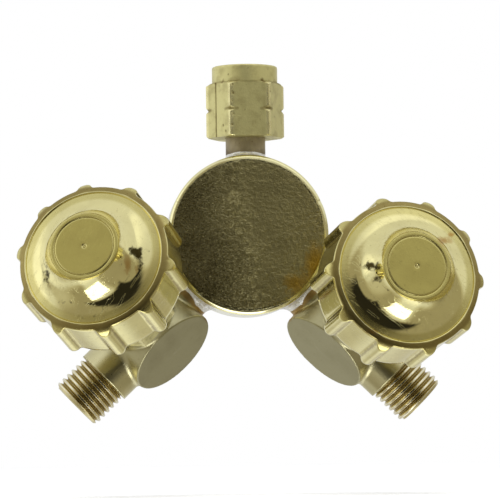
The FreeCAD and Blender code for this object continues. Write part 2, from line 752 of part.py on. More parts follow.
def add_lobes(body, name):
    """Add the lobes along the skirt, each a round crest that flows into the skirt by two fillets."""
    centre = f"({LOBE_REACH} - wheel_lobe_round)"
    swept = "(wheel_rim_radius + wheel_lobe_fillet)"
    joined = "(wheel_lobe_round + wheel_lobe_fillet)"
    cosine = f"(({swept} ^ 2 + {centre} ^ 2 - {joined} ^ 2) / (2 * {swept} * {centre}))"
    sine = f"sqrt(1 - {cosine} ^ 2)"
    share = f"(wheel_lobe_round / {joined})"
    crest = (f"{centre} + {share} * ({swept} * {cosine} - {centre})", f"{share} * {swept} * {sine}")
    foot = (f"wheel_rim_radius * {cosine}", f"wheel_rim_radius * {sine}")
    root = (f"(wheel_rim_radius - wheel_wall / 2) * {cosine}", f"(wheel_rim_radius - wheel_wall / 2) * {sine}")
    sketch = new_sketch(body, name + "_sketch", "XY_Plane", SKIRT_BACK)
    add_outline(
        sketch,
        [
            (root[0], f"-({root[1]})"),
            (foot[0], f"-({foot[1]})"),
            (crest[0], f"-({crest[1]})", "wheel_lobe_fillet", -1),
            (crest[0], crest[1], "wheel_lobe_round", 1),
            (foot[0], foot[1], "wheel_lobe_fillet", -1),
            root,
        ],
    )
    pad = body.newObject("PartDesign::Pad", name)
    pad.Profile = sketch
    pad.setExpression("Length", bind("wheel_depth"))
    pattern = body.newObject("PartDesign::PolarPattern", name + "_pattern")
    pattern.Originals = [pad]
    pattern.Axis = (sketch, ["N_Axis"])
    pattern.Angle = 360
    pattern.setExpression("Occurrences", bind("wheel_lobe_count"))
    body.Tip = pattern


def build_handwheel(side):
    """Hollow handwheel: flat boss, hollowed flank, flat ring, lobed skirt and a sleeve for the stem."""
    name = SIDE_NAMES[side]
    body = new_body(f"{name}_handwheel")
    hole = "stem_radius + wheel_fit"
    inner = "wheel_rim_radius - wheel_wall"
    ceiling = f"{RING_HEIGHT} - wheel_web"
    sleeve_back = f"{SKIRT_BACK} - wheel_sleeve_back"
    add_turned(
        body,
        f"{name}_wheel_turning",
        [
            ("0", STEM_HOLE_TOP),
            (hole, STEM_HOLE_TOP),
            (hole, sleeve_back),
            ("wheel_sleeve_radius", sleeve_back),
            ("wheel_sleeve_radius", ceiling),
            (f"{inner} - wheel_inner_round", ceiling),
            (inner, f"{ceiling} - wheel_inner_round", "wheel_inner_round", -1),
            (inner, SKIRT_BACK),
            ("wheel_rim_radius", SKIRT_BACK),
            ("wheel_rim_radius", RING_HEIGHT),
            ("wheel_boss_radius + wheel_flank_width", RING_HEIGHT),
            ("wheel_boss_radius", "wheel_reach - wheel_boss_wall", "wheel_flank_round", -1),
            ("wheel_boss_radius", "wheel_reach"),
            ("0", "wheel_reach"),
        ],
    )
    add_lobes(body, f"{name}_wheel_lobes")
    ring_edge = "wheel_rim_radius - wheel_edge_width"
    edge_end = f"{LOBE_REACH} + wheel_turned_margin"
    groove_in = "wheel_groove_radius - wheel_groove_width / 2"
    groove_out = "wheel_groove_radius + wheel_groove_width / 2"
    cut_turned(
        body,
        f"{name}_wheel_front",
        [
            (ring_edge, RING_HEIGHT),
            (edge_end, f"{RING_HEIGHT} - wheel_turned_drop", "wheel_turned_round", -1),
            (edge_end, f"{RING_HEIGHT} + {OVERRUN}"),
            (ring_edge, f"{RING_HEIGHT} + {OVERRUN}"),
        ],
        [
            (groove_in, "wheel_reach"),
            ("wheel_groove_radius", "wheel_reach - wheel_groove_depth"),
            (groove_out, "wheel_reach"),
            (groove_out, f"wheel_reach + {OVERRUN}"),
            (groove_in, f"wheel_reach + {OVERRUN}"),
        ],
        [
            ("0", "wheel_reach - wheel_dimple_depth"),
            ("wheel_dimple_radius", "wheel_reach"),
            ("wheel_dimple_radius", f"wheel_reach + {OVERRUN}"),
            ("0", f"wheel_reach + {OVERRUN}"),
        ],
    )
    body.Placement = valve_placement(side, turn=f"{name}_wheel_turn")
    return body


fill_sheet()
build_hub()
build_inlet_nipple()
build_inlet_nut()
build_braze("inlet_braze", FreeCAD.Vector(0, 0, 1), "nipple_radius", "inlet_braze_leg", [])
for each_side in (LEFT, RIGHT):
    side_name = SIDE_NAMES[each_side]
    build_braze(
        f"{side_name}_braze",
        outlet_direction(each_side),
        "shank_radius",
        "outlet_braze_leg",
        [body_slab(f"{side_name}_braze_limit", each_side)],
    )
    build_valve_body(each_side)
    build_stem_ball(each_side)
    build_valve_stem(each_side)
    stem_hole = "stem_radius + stem_clearance"
    build_ring(
        each_side,
        "packing_washer",
        stem_hole,
        "packing_radius - ring_clearance",
        "packing_floor",
        WASHER_TOP,
    )
    build_ring(
        each_side,
        "packing_ring",
        "stem_radius + seal_clearance",
        "packing_radius - seal_clearance",
        WASHER_TOP,
        PACKING_TOP,
    )
    build_gland(each_side)
    build_packing_nut(each_side)
    build_handwheel(each_side)
doc.recompute()

for item in doc.Objects:
    if "Invalid" in item.State or "Error" in item.State:
        raise RuntimeError(f"{item.Label} failed: {item.State}")
for piece in pieces:
    if piece.Shape.isNull() or not piece.Shape.isValid():
        raise RuntimeError(f"{piece.Label} has no valid shape")

os.makedirs("parts", exist_ok=True)
for piece in pieces:
    piece.Shape.exportStep(f"parts/{piece.Label}.step")
    box = piece.Shape.BoundBox
    print(f"{piece.Label}: {len(piece.Shape.Solids)} solid, {piece.Shape.Volume:.1f} mm3, {box}")
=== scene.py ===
"""Brass Y hose adapter: its visible pieces, brass finishes, studio and camera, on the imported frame."""
import itertools
import logging
import math
from collections.abc import Callable, Iterable
from dataclasses import dataclass
from enum import Enum

import bpy
import numpy as np
from mathutils import Matrix


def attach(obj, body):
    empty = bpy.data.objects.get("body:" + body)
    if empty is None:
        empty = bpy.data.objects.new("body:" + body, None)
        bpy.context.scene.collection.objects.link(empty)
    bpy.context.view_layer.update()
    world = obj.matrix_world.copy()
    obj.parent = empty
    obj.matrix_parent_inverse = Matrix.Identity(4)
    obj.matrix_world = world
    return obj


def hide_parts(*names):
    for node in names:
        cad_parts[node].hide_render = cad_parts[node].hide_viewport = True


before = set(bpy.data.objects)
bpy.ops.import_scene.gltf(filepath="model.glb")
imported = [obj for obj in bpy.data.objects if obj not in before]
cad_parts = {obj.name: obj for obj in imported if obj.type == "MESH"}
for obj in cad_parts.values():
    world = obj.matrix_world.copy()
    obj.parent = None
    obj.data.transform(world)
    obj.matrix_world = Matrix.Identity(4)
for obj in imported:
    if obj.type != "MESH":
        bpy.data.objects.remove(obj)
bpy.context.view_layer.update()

log = logging.getLogger("hose_adapter")

Array = np.ndarray
RIGHT = np.array([1.0, 0, 0])
FRONT = np.array([0.0, -1.0, 0.0])
BACK = np.array([0, 1.0, 0])
UP = np.array([0, 0, 1.0])
WHITE = (1, 1, 1, 1)

# Sizes that several pieces share, in millimetres.
HUB_CENTRE = np.array([0.0, -8.0, 0.0])
HUB_RADIUS = 20.5
HUB_HALF = 8.0
OUTLET_SLOPE = math.radians(44.0)
VALVE_OFFSET = 34.5
NIPPLE_SHANK = 5.1
VALVE_SHANK = 6.35
GAS_WAY = 1.8
HEXAGON_CORNER = 1 / math.cos(math.pi / 6)
CHAMFER_SLOPE = 1 / math.tan(math.radians(30))


class Side(Enum):
    """The two valves: label, sign of X, stem lean and wheel turn in degrees, and noise seed."""

    LEFT = ("left", -1, 25.0, 19.1, 3.0)
    RIGHT = ("right", 1, 17.0, 4.9, 11.0)

    def __init__(self, label: str, sign: int, lean: float, wheel_turn: float, seed: float) -> None:
        """Keep the values of one side.

        Args:
            label: name of the side in the node names.
            sign: sign of the outlet's X direction.
            lean: lean of the stem from straight forward, degrees.
            wheel_turn: turn of the handwheel about its stem, degrees.
            seed: offset of the side's noise patterns, millimetres.
        """
        self.label = label
        self.sign = sign
        self.lean = lean
        self.wheel_turn = wheel_turn
        self.seed = seed

    @property
    def outlet(self) -> Array:
        """Unit vector from the hub's centre down the outlet."""
        return np.array([self.sign * math.cos(OUTLET_SLOPE), 0, -math.sin(OUTLET_SLOPE)])

    def placement(self, turn: float = 0.0) -> "Placement":
        """Place a piece of the valve, with X down its outlet and Z up its stem.

        Args:
            turn: turn about the stem, degrees.

        Returns:
            The piece's placement.
        """
        outward = np.array([self.sign * math.sin(OUTLET_SLOPE), 0, math.cos(OUTLET_SLOPE)])
        lean = math.radians(self.lean)
        stem = np.array([0, -math.cos(lean), 0]) + outward * math.sin(lean)
        return Placement(HUB_CENTRE + self.outlet * VALVE_OFFSET, self.outlet, stem, turn)


class Lay(Enum):
    """A finish's tool marks: none, or rings round the piece's axis."""

    NONE = 0
    TURNED = 1


class Coordinates(Enum):
    """Where a finish takes its millimetres from: the piece's own frame, or the node's object frame."""

    PIECE = 0
    NODE = 1


def linear(code: str) -> tuple[float, float, float, float]:
    """Turn an sRGB hex colour to linear RGBA.

    Args:
        code: six hex digits.

    Returns:
        Linear red, green, blue and an alpha of one.
    """
    parts = [int(code[i:i + 2], 16) / 255 for i in (0, 2, 4)]
    red, green, blue = [p / 12.92 if p <= 0.04045 else ((p + 0.055) / 1.055) ** 2.4 for p in parts]
    return red, green, blue, 1.0


def unit(vector: Array) -> Array:
    """Return the vector at length one."""
    return np.asarray(vector, float) / np.linalg.norm(vector)


def smooth_min(first: Array, second: Array, width: float) -> Array:
    """Return the smaller of two values, rounded where they come nearer to each other than the width."""
    share = np.clip(0.5 + 0.5 * (second - first) / width, 0, 1)
    return second * (1 - share) + first * share - width * share * (1 - share)


def step(low: float, high: float, value: Array) -> Array:
    """Rise smoothly from 0 at low to 1 at high."""
    t = np.clip((value - low) / (high - low), 0, 1)
    return t * t * (3 - 2 * t)


def bell(away: Array, width: float) -> Array:
    """Fall from 1 at no distance to about a third at the width."""
    return np.exp(-((away / width) ** 2))


@dataclass(frozen=True)
class Placement:
    """Frame of a piece: origin in millimetres and its X and Z axes, turned about Z."""

    origin: Array
    x_axis: Array
    z_axis: Array
    turn: float = 0.0

    def place(self, points: Array) -> Array:
        """Bring points of the piece's frame to the row frame, in metres.

        Args:
            points: rows of x, y, z in millimetres.

        Returns:
            Rows of x, y, z in metres.
        """
        z = unit(self.z_axis)
        x = unit(self.x_axis)
        y = np.cross(z, x)
        c, s = math.cos(math.radians(self.turn)), math.sin(math.radians(self.turn))
        axes = np.stack([c * x + s * y, c * y - s * x, z])
        return (self.origin + points @ axes) / 1000


@dataclass
class Surface:
    """A mesh in the making: points in millimetres, faces, and per-point polish, tarnish and painted shade,
    stain and painted dark reflection.
    """

    points: Array
    faces: list
    polish: Array
    grime_and_shade: Array
    stain: Array
    normals: Array | None = None
    dark_reflection: Array | float = 0.0


def steps(columns: int) -> Array:
    """Return the angles of the columns, radians."""
    return np.arange(columns) * 2 * math.pi / columns


class Turning:
    """Rows of points round the Z axis, each with a radius, height, polish and share of tarnish and painted
    shade.

    Rows a few hundredths of a millimetre apart keep an edge crisp or round it, and so the pieces below add
    such small offsets to their sizes.
    """

    def __init__(self, columns: int) -> None:
        """Begin without rows.

        Args:
            columns: steps of angle.
        """
        self.angle = steps(columns)
        self.rows: list = []

    def ring(
        self,
        radius: float | Array,
        height: float | Array,
        polish: float | Array = 0.0,
        grime_and_shade: float | Array = 0.0,
    ) -> None:
        """Add one row, of one value or a value for each column."""
        values = (radius, height, polish, grime_and_shade)
        self.rows.append([np.broadcast_to(np.asarray(v, float), self.angle.shape) for v in values])

    def rings(self, corners: Iterable, polish: float = 0.0, grime_and_shade: float = 0.0) -> None:
        """Add a row for each corner of radius and height."""
        for radius, height in corners:
            self.ring(radius, height, polish, grime_and_shade)

    def grids(self) -> Array:
        """Return the radii, heights, polish and grime, each as rows by columns."""
        return np.array(self.rows).transpose(1, 0, 2)


def lathe(
    radius: Array,
    height: Array,
    closed: bool = False,
    flip: bool = False,
    polish: Array | float = 0.0,
    grime_and_shade: Array | float = 0.0,
    stain: Array | float = 0.0,
) -> Surface:
    """Wrap rows of radius and height round the Z axis.

    Args:
        radius: rows by columns of radius, millimetres.
        height: rows by columns of height, millimetres.
        closed: join the last row to the first, instead of closing both with a point on the axis.
        flip: turn the faces over, for rows that run the other way round.
        polish: share of polish, for each point or for all.
        grime_and_shade: share of tarnish and painted shade.
        stain: share of heat stain.

    Returns:
        The surface.
    """
    rows, columns = radius.shape
    angle = steps(columns)
    points = np.stack([radius * np.cos(angle), radius * np.sin(angle), height], -1).reshape(-1, 3)
    shares = (polish, grime_and_shade, stain)
    masks = [np.broadcast_to(np.asarray(m, float), radius.shape).reshape(-1) for m in shares]
    index = np.arange(rows * columns).reshape(rows, columns)
    following = np.roll(index, -1, axis=1)
    faces = []
    for row in range(rows if closed else rows - 1):
        above = (row + 1) % rows
        faces += np.stack([index[row], following[row], following[above], index[above]], -1).tolist()
    for row, a, b in () if closed else ((0, following, index), (rows - 1, index, following)):
        pole = len(points)
        points = np.vstack([points, [0, 0, height[row].mean()]])
        masks = [np.append(m, m[index[row]].mean()) for m in masks]
        faces += np.stack([a[row], b[row], np.full(columns, pole)], -1).tolist()
    if flip:
        faces = [face[::-1] for face in faces]
    return Surface(points, faces, *masks)


def arc(centre: tuple, radius: float, start: float, stop: float, count: int) -> list:
    """List points on an arc of a profile, between two angles in degrees from outward."""
    angles = np.radians(np.linspace(start, stop, count))
    return [(centre[0] + radius * math.cos(a), centre[1] + radius * math.sin(a)) for a in angles]


def arc_centre(start: Array, chord: Array, radius: float) -> Array:
    """Find the centre of an arc.

    Args:
        start: one end of it.
        chord: way from there to its other end, with the centre at its right.
        radius: its radius.

    Returns:
        The centre.
    """
    length = np.linalg.norm(chord)
    right = np.array([chord[1], -chord[0]]) / length
    return start + chord / 2 + right * math.sqrt(radius ** 2 - length ** 2 / 4)


def eased(outline: list, reach: float) -> list:
    """Break every corner of an outline with a small three-point round.

    Args:
        outline: corners of (radius, height).
        reach: how far the round reaches along each side.

    Returns:
        The longer outline.
    """
    result = [outline[0]]
    for before, corner, after in zip(outline, outline[1:], outline[2:]):
        corner = np.array(corner, float)
        back, ahead = np.array(before) - corner, np.array(after) - corner
        back_length, ahead_length = np.linalg.norm(back), np.linalg.norm(ahead)
        cut = min(reach, back_length / 3, ahead_length / 3)
        first, second = corner + back / back_length * cut, corner + ahead / ahead_length * cut
        result += [tuple(first), tuple(0.25 * first + 0.5 * corner + 0.25 * second), tuple(second)]
    return result + [outline[-1]]


def new_object(name: str, data: bpy.types.ID) -> bpy.types.Object:
    """Make an object in the scene.

    Args:
        name: its name.
        data: its mesh, camera or lamp.

    Returns:
        The object.
    """
    made = bpy.data.objects.new(name, data)
    bpy.context.scene.collection.objects.link(made)
    return made


def add_piece(
    name: str,
    surface: Surface,
    placement: Placement,
    body: str,
    material: bpy.types.Material,
    replaced: tuple = (),
    sharp: float = 40.0,
) -> None:
    """Make a Blender object of a surface and tie it to the frame.

    Args:
        name: object name.
        surface: its mesh in its own frame.
        placement: where that frame lies.
        body: CAD body that it rides on.
        material: its finish.
        replaced: CAD nodes that it stands for.
        sharp: angle from which edges are shaded sharp, degrees.
    """
    mesh = bpy.data.meshes.new(name)
    mesh.from_pydata(placement.place(surface.points).tolist(), [], surface.faces)
    layer = mesh.attributes.new("part_mm", "FLOAT_VECTOR", "POINT")
    layer.data.foreach_set("vector", surface.points.ravel())
    for label in ("polish", "grime_and_shade", "stain", "dark_reflection"):
        layer = mesh.attributes.new(label, "FLOAT", "POINT")
        share = np.clip(getattr(surface, label), 0, 1)
        layer.data.foreach_set("value", np.broadcast_to(share, len(surface.points)))
    mesh.shade_smooth()
    if surface.normals is None:
        mesh.set_sharp_from_angle(angle=math.radians(sharp))
    else:
        turned = placement.place(surface.normals) - placement.place(np.zeros((1, 3)))
        mesh.normals_split_custom_set_from_vertices((turned * 1000).tolist())
    mesh.materials.append(material)
    piece = new_object(name, mesh)
    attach(piece, body)
    if replaced:
        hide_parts(*replaced)
    log.info("%s: %d faces on %s", name, len(surface.faces), body)


def add(tree: bpy.types.NodeTree, kind: str, sockets: dict, **options: object) -> bpy.types.Node:
    """Add a node with its settings and links.

    Args:
        tree: node tree to add to.
        kind: node type.
        sockets: value or signal for each input, by name or number.
        **options: properties of the node.

    Returns:
        The node.
    """
    node = tree.nodes.new(kind)
    for key, value in options.items():
        setattr(node, key, value)
    for key, value in sockets.items():
        if isinstance(value, Signal):
            tree.links.new(value.socket, node.inputs[key])
        else:
            node.inputs[key].default_value = value
    return node


@dataclass(frozen=True)
class Signal:
    """An output of a node. Arithmetic on it adds maths nodes to its tree."""

    tree: bpy.types.NodeTree
    socket: bpy.types.NodeSocket

    def via(self, kind: str, output: str | int, sockets: dict, **options: object) -> "Signal":
        """Return one output of a new node in the same tree."""
        return Signal(self.tree, add(self.tree, kind, sockets, **options).outputs[output])

    def maths(self, operation: str, *others: "Signal | float", clamp: bool = False) -> "Signal":
        """Combine this value with others by one maths node, kept from 0 to 1 by its clamp."""
        sockets = dict(enumerate((self, *others)))
        return self.via("ShaderNodeMath", 0, sockets, operation=operation, use_clamp=clamp)

    def __add__(self, other: "Signal | float") -> "Signal":
        """Return the sum."""
        return self.maths("ADD", other)

    def __sub__(self, other: "Signal | float") -> "Signal":
        """Return the difference."""
        return self.maths("SUBTRACT", other)

    def __rsub__(self, other: float) -> "Signal":
        """Return a number less this value."""
        return self.via("ShaderNodeMath", 0, {0: other, 1: self}, operation="SUBTRACT")

    def __mul__(self, other: "Signal | float") -> "Signal":
        """Return the product."""
        return self.maths("MULTIPLY", other)

    def __abs__(self) -> "Signal":
        """Return the value without its sign."""
        return self.maths("ABSOLUTE")

    def band(self, start: float, whole: float) -> "Signal":
        """Go smoothly from 0 where the value is at the start to 1 where it is at the whole, up or down."""
        sockets = {"Value": self, "From Min": start, "From Max": whole}
        return self.via("ShaderNodeMapRange", "Result", sockets, interpolation_type="SMOOTHSTEP")

    def noise(self, size_mm: float, detail: float) -> "Signal":
        """Return noise of about 0.3 to 0.7 at this place, in lumps of one size with finer octaves."""
        sockets = {"Vector": self, "Scale": 1 / size_mm, "Detail": detail, "Roughness": 0.55}
        return self.via("ShaderNodeTexNoise", "Fac", sockets)

    def blend(self, first: "Signal | tuple", second: "Signal | tuple") -> "Signal":
        """Return the first colour where this share is 0 and the second where it is 1."""
        return self.via("ShaderNodeMix", 2, {0: self, 6: first, 7: second}, data_type="RGBA")

    def mapped(self, **settings: tuple) -> "Signal":
        """Return this place moved, turned and scaled."""
        return self.via("ShaderNodeMapping", "Vector", {"Vector": self, **settings})

    def parts(self) -> list["Signal"]:
        """Return the X, Y and Z of this vector."""
        node = add(self.tree, "ShaderNodeSeparateXYZ", {"Vector": self})
        return [Signal(self.tree, output) for output in node.outputs]

    def toward(self, way: tuple) -> "Signal":
        """Return how far this direction points one way, from -1 to 1."""
        sockets = {0: self, 1: tuple(unit(np.array(way)))}
        return self.via("ShaderNodeVectorMath", "Value", sockets, operation="DOT_PRODUCT")


def part(amount: float, *bounds: tuple) -> Signal:
    """Bound one part of the surround.

    Args:
        amount: what it adds where it is whole.
        *bounds: values that bound it, each with the edge where it comes in and the edge where it is whole.

    Returns:
        What it adds at each direction.
    """
    for value, start, whole in bounds:
        amount = value.band(start, whole) * amount
    return amount


def source(tree: bpy.types.NodeTree, kind: str, output: str, **options: object) -> Signal:
    """Return one output of a new node that needs no input."""
    return Signal(tree, add(tree, kind, {}, **options).outputs[output])


def emptied(owner: bpy.types.Material | bpy.types.World) -> bpy.types.NodeTree:
    """Switch the nodes of a new material or world on and take them out.

    Args:
        owner: the material or world.

    Returns:
        Its empty node tree.
    """
    owner.use_nodes = True
    owner.node_tree.nodes.clear()
    return owner.node_tree


# Where each pattern comes in and where it is whole, on its noise or its mask.
BLOTCH_BAND = (0.42, 0.72)
FLECK_BAND = (0.66, 0.74)
GRIME_AND_SHADE_BAND = (0.0, 0.4)
HEAT_BAND = (0.2, 0.6)
DARK_REFLECTION_BAND = (0.3, 0.75)
SCRATCH_BAND = (0.0, 0.012)
SCRATCH_LEVEL = 0.62
# A depth is about a quarter of the height that its noise is scaled by.
NOISE_GAIN = 4


@dataclass(frozen=True)
class Finish:
    """A brass surface as it was made and worn.

    The base colour is the metal where it is clean, tarnish_and_shade what dulls it in its hollows and
    what paints shade, stain what the brazing heat left, and dark_reflection what paints dark reflections.
    Sizes are millimetres on the object.
    """

    name: str
    colour: str
    tarnish_and_shade: str
    polished: str = "f1dd9a"
    stain: str = "a8702c"
    # Colour of the painted dark reflections.
    dark_reflection: str = "3d3418"
    roughness: float = 0.3
    polished_roughness: float = 0.12
    dull_roughness: float = 0.16
    uneven_roughness: float = 0.12
    blotch_mm: float = 7.0
    blotch_share: float = 0.3
    grain_mm: float = 0.8
    grain_depth_mm: float = 0.02
    fleck_mm: float = 0.9
    fleck_share: float = 0.1
    ragged: float = 0.5
    ragged_mm: float = 1.5
    lay: Lay = Lay.NONE
    lay_mm: float = 0.4
    lay_depth_mm: float = 0.004
    scratch_mm: float = 0.9
    scratch_depth_mm: float = 0.01
    metallic: float = 1.0
    seed: float = 0.0
    coordinates: Coordinates = Coordinates.PIECE

    def build(self) -> bpy.types.Material:
        """Make the material.

        Returns:
            The Blender material.
        """
        material = bpy.data.materials.new(self.name)
        tree = emptied(material)
        polish, grime_and_shade, stain, dark_reflection = (
            source(tree, "ShaderNodeAttribute", "Fac", attribute_name=label)
            for label in ("polish", "grime_and_shade", "stain", "dark_reflection")
        )
        place = self.millimetres(tree)
        grain = place.noise(self.grain_mm, 3.0)
        edge = (place.noise(self.ragged_mm, 5.0) - 0.5) * (self.ragged * 2)
        grime_and_shade = grime_and_shade * (grime_and_shade + edge).band(*GRIME_AND_SHADE_BAND)
        blotch = place.noise(self.blotch_mm, 4.0).band(*BLOTCH_BAND) * self.blotch_share
        fleck = place.noise(self.fleck_mm, 2.0).band(*FLECK_BAND) * self.fleck_share
        dull = (blotch + fleck).maths("ADD", grime_and_shade, clamp=True)
        heat = stain * (stain + edge).band(*HEAT_BAND)
        # Painted dark reflections, which take the dark_reflection colour.
        reflected_dark = (dark_reflection + edge * 0.9).band(*DARK_REFLECTION_BAND)
        colour = polish.blend(linear(self.colour), linear(self.polished))
        for share, code in ((dull, self.tarnish_and_shade), (heat, self.stain), (reflected_dark, self.dark_reflection)):
            colour = share.blend(colour, linear(code))
        sockets = {"Value": polish, "To Min": self.roughness, "To Max": self.polished_roughness}
        rough = polish.via("ShaderNodeMapRange", "Result", sockets) + dull * self.dull_roughness
        rough = rough.maths("ADD", (grain - 0.5) * self.uneven_roughness, clamp=True)
        normal = self.relief(place, grain, polish, grime_and_shade)
        sockets = {"Base Color": colour, "Roughness": rough, "Normal": normal, "Metallic": self.metallic}
        shader = colour.via("ShaderNodeBsdfPrincipled", "BSDF", sockets)
        add(tree, "ShaderNodeOutputMaterial", {"Surface": shader})
        return material

    def millimetres(self, tree: bpy.types.NodeTree) -> Signal:
        """Give the place on the piece.

        Args:
            tree: the material's node tree.

        Returns:
            Millimetres, moved by the finish's seed.
        """
        if self.coordinates is Coordinates.PIECE:
            place, scale = source(tree, "ShaderNodeAttribute", "Vector", attribute_name="part_mm"), 1.0
        else:
            place, scale = source(tree, "ShaderNodeTexCoord", "Object"), 1000.0
        return place.mapped(Scale=(scale,) * 3, Location=(self.seed,) * 3)

    def relief(self, place: Signal, grain: Signal, polish: Signal, grime_and_shade: Signal) -> Signal:
        """Turn grain, tool marks and scratches into one normal.

        Args:
            place: place in millimetres.
            grain: grain noise.
            polish: share of polish, which flattens the grain.
            grime_and_shade: share of tarnish and painted shade, which roughens it.

        Returns:
            The normal.
        """
        height = grain * (self.grain_depth_mm * NOISE_GAIN) * (1.06 - polish) * (grime_and_shade * 0.8 + 0.35)
        if self.lay is Lay.TURNED:
            height = height + self.wound(place).noise(self.lay_mm, 2.0) * (self.lay_depth_mm * NOISE_GAIN)
        stretched = place.mapped(Rotation=(0.5, 0.3, 0.9), Scale=(0.12, 1.0, 1.0))
        scratch = abs(stretched.noise(self.scratch_mm, 1.0) - SCRATCH_LEVEL).band(*SCRATCH_BAND)
        height = height + scratch * self.scratch_depth_mm
        sockets = {"Height": height, "Distance": 0.001, "Strength": 1.0}
        return height.via("ShaderNodeBump", "Normal", sockets)

    def wound(self, place: Signal) -> Signal:
        """Wind the place round the piece's axis.

        Args:
            place: place in millimetres.

        Returns:
            Coordinates that change fast only across the rings of the tool.
        """
        x, y, z = place.parts()
        flat = place.via("ShaderNodeCombineXYZ", 0, {"X": x, "Y": y})
        reach = flat.via("ShaderNodeVectorMath", "Value", {0: flat}, operation="LENGTH")
        around = flat.via("ShaderNodeVectorMath", 0, {0: flat}, operation="NORMALIZE").parts()
        return place.via("ShaderNodeCombineXYZ", 0, {"X": reach - z, "Y": around[0], "Z": around[1]})


def hexagon(angle: Array, flats: float) -> Array:
    """Return the radius at each angle of a hexagon with a corner at angle zero."""
    sixth = math.pi / 3
    return flats / 2 / np.cos(np.mod(angle, sixth) - sixth / 2)


def chamfered(angle: Array, flats: float, cones: tuple, worn: float) -> Array:
    """Cut a hexagon's corners with cones.

    Args:
        angle: angles, radians.
        flats: across flats, millimetres.
        cones: radius of each cone over that of the corners.
        worn: width of the worn edges.

    Returns:
        Radius at each point.
    """
    radius = hexagon(angle, flats)
    for cone in cones:
        radius = smooth_min(radius, flats / 2 * HEXAGON_CORNER + cone, worn)
    return radius


def spot(across: Array, up: Array, right: float, above: float, wide: float, tall: float) -> Array:
    """Return the share of each point in a soft spot that lies right of and above the origin."""
    return np.exp(-(((across - right) / wide) ** 2 + ((up - above) / tall) ** 2))


# Heat stains on the hub's face: right of and above its centre, half width, half height, share.
HUB_STAINS = ((11.5, -12.5, 3.2, 3.0, 0.9), (16.8, -7.5, 2.6, 5.0, 1.1))


@dataclass
class HubDisc:
    """Thick round hub: a cast face between polished, rounded edges."""

    finish: bpy.types.Material
    edge: float = 1.15
    columns: int = 400
    nick_angle: float = 24.3
    nick_depth: float = 0.35
    nick_width: float = 0.55
    nick_drop: float = 0.5

    def build(self) -> None:
        """Build the disc and hide the CAD one."""
        flat = HUB_RADIUS - self.edge
        shoulder = HUB_HALF - self.edge
        face = np.linspace(0.4, flat - 0.05, 26)
        turning = Turning(self.columns)
        turning.rings((r, HUB_HALF) for r in face)
        turning.rings(arc((flat, shoulder), self.edge, 90, 0, 9))
        turning.rings((HUB_RADIUS, z) for z in np.linspace(shoulder - 0.2, 0.2 - shoulder, 9))
        turning.rings(arc((flat, -shoulder), self.edge, 0, -90, 9))
        turning.rings((r, -HUB_HALF) for r in face[::-1])
        radius, height = turning.grids()[:2]
        angle = turning.angle
        around = (angle - math.radians(self.nick_angle)) * HUB_RADIUS
        nick = np.hypot(around, height - HUB_HALF + self.nick_drop)
        dent = self.nick_depth * bell(nick, self.nick_width) * step(18.0, 20.0, radius)
        x, y = radius * np.cos(angle), radius * np.sin(angle)
        # Painted shade: the cast face is darker at the left and lighter toward the right along a wavy line.
        polish = step(flat - 0.2, flat + 0.1, radius)
        cast = polish < 0.5
        grime_and_shade = (0.9 - 0.85 * step(-13, 7, x + 0.2 * y + 0.8 * np.sin(y / 3.1))) * cast
        stain = sum(share * spot(x, y, *place) for *place, share in HUB_STAINS) * step(0, 1, height) * cast
        surface = lathe(radius - dent, height, flip=True, polish=polish, grime_and_shade=grime_and_shade, stain=stain)
        placement = Placement(HUB_CENTRE, RIGHT, FRONT)
        add_piece("hub_disc", surface, placement, "fitting", self.finish, ("hub",), 60)


@dataclass
class InletNipple:
    """Turned nipple: a dull shank, the collar that holds the nut and a rounded nose with its gas way."""

    finish: bpy.types.Material
    start: float = 14.5
    flame_end: float = 20.4
    collar: float = 28.5
    collar_radius: float = 6.2
    collar_top: float = 31.0
    nose_axis: float = 3.3
    nose_width: float = 2.5
    nose_height: float = 4.1
    tip: float = 35.1
    tip_radius: float = 3.1
    corner_round: float = 0.2
    columns: int = 96

    def build(self) -> None:
        """Build the nipple and hide the CAD one."""
        shank = (self.start, 18.0, self.flame_end, *np.linspace(21, self.collar - 0.4, 12))
        outline = [(GAS_WAY, self.start), *((NIPPLE_SHANK, z) for z in shank)]
        outline += [(NIPPLE_SHANK, self.collar), (self.collar_radius, self.collar)]
        outline.append((self.collar_radius, self.collar_top))
        for a in np.linspace(0, 1.45, 8):
            r = self.nose_axis + self.nose_width * math.cos(a)
            outline.append((r, self.collar_top + self.nose_height * math.sin(a)))
        outline += [(self.tip_radius, self.tip), (GAS_WAY, self.tip)]
        turning = Turning(self.columns)
        turning.rings(eased(outline, self.corner_round))
        radius, height = turning.grids()[:2]
        # The flame's soot near the hub, and a little darker toward and under the nut.
        grime_and_shade = 0.55 * step(23.5, 20.5, height) + 0.2 * step(24.5, 26.5, height)
        surface = lathe(radius, height, closed=True, grime_and_shade=grime_and_shade)
        placement = Placement(HUB_CENTRE, RIGHT, UP)
        name = "inlet_nipple_turning"
        add_piece(name, surface, placement, "fitting", self.finish, ("inlet_nipple",))


# Knocks along the nut's edges: angle in degrees, height and size in millimetres.
NUT_KNOCKS = (
    (-139.0, 39.4, 0.35), (-116.4, 38.4, 0.2), (-117.2, 36.7, 0.14), (-116.0, 36.2, 0.26),
    (-117.4, 34.2, 0.16), (-115.8, 30.9, 0.2), (-117.6, 28.1, 0.22), (-66.0, 39.5, 0.45),
    (-137.0, 28.1, 0.3), (-56.5, 36.6, 0.2), (-131.0, 26.6, 0.3), (-128.0, 41.2, 0.22),
)


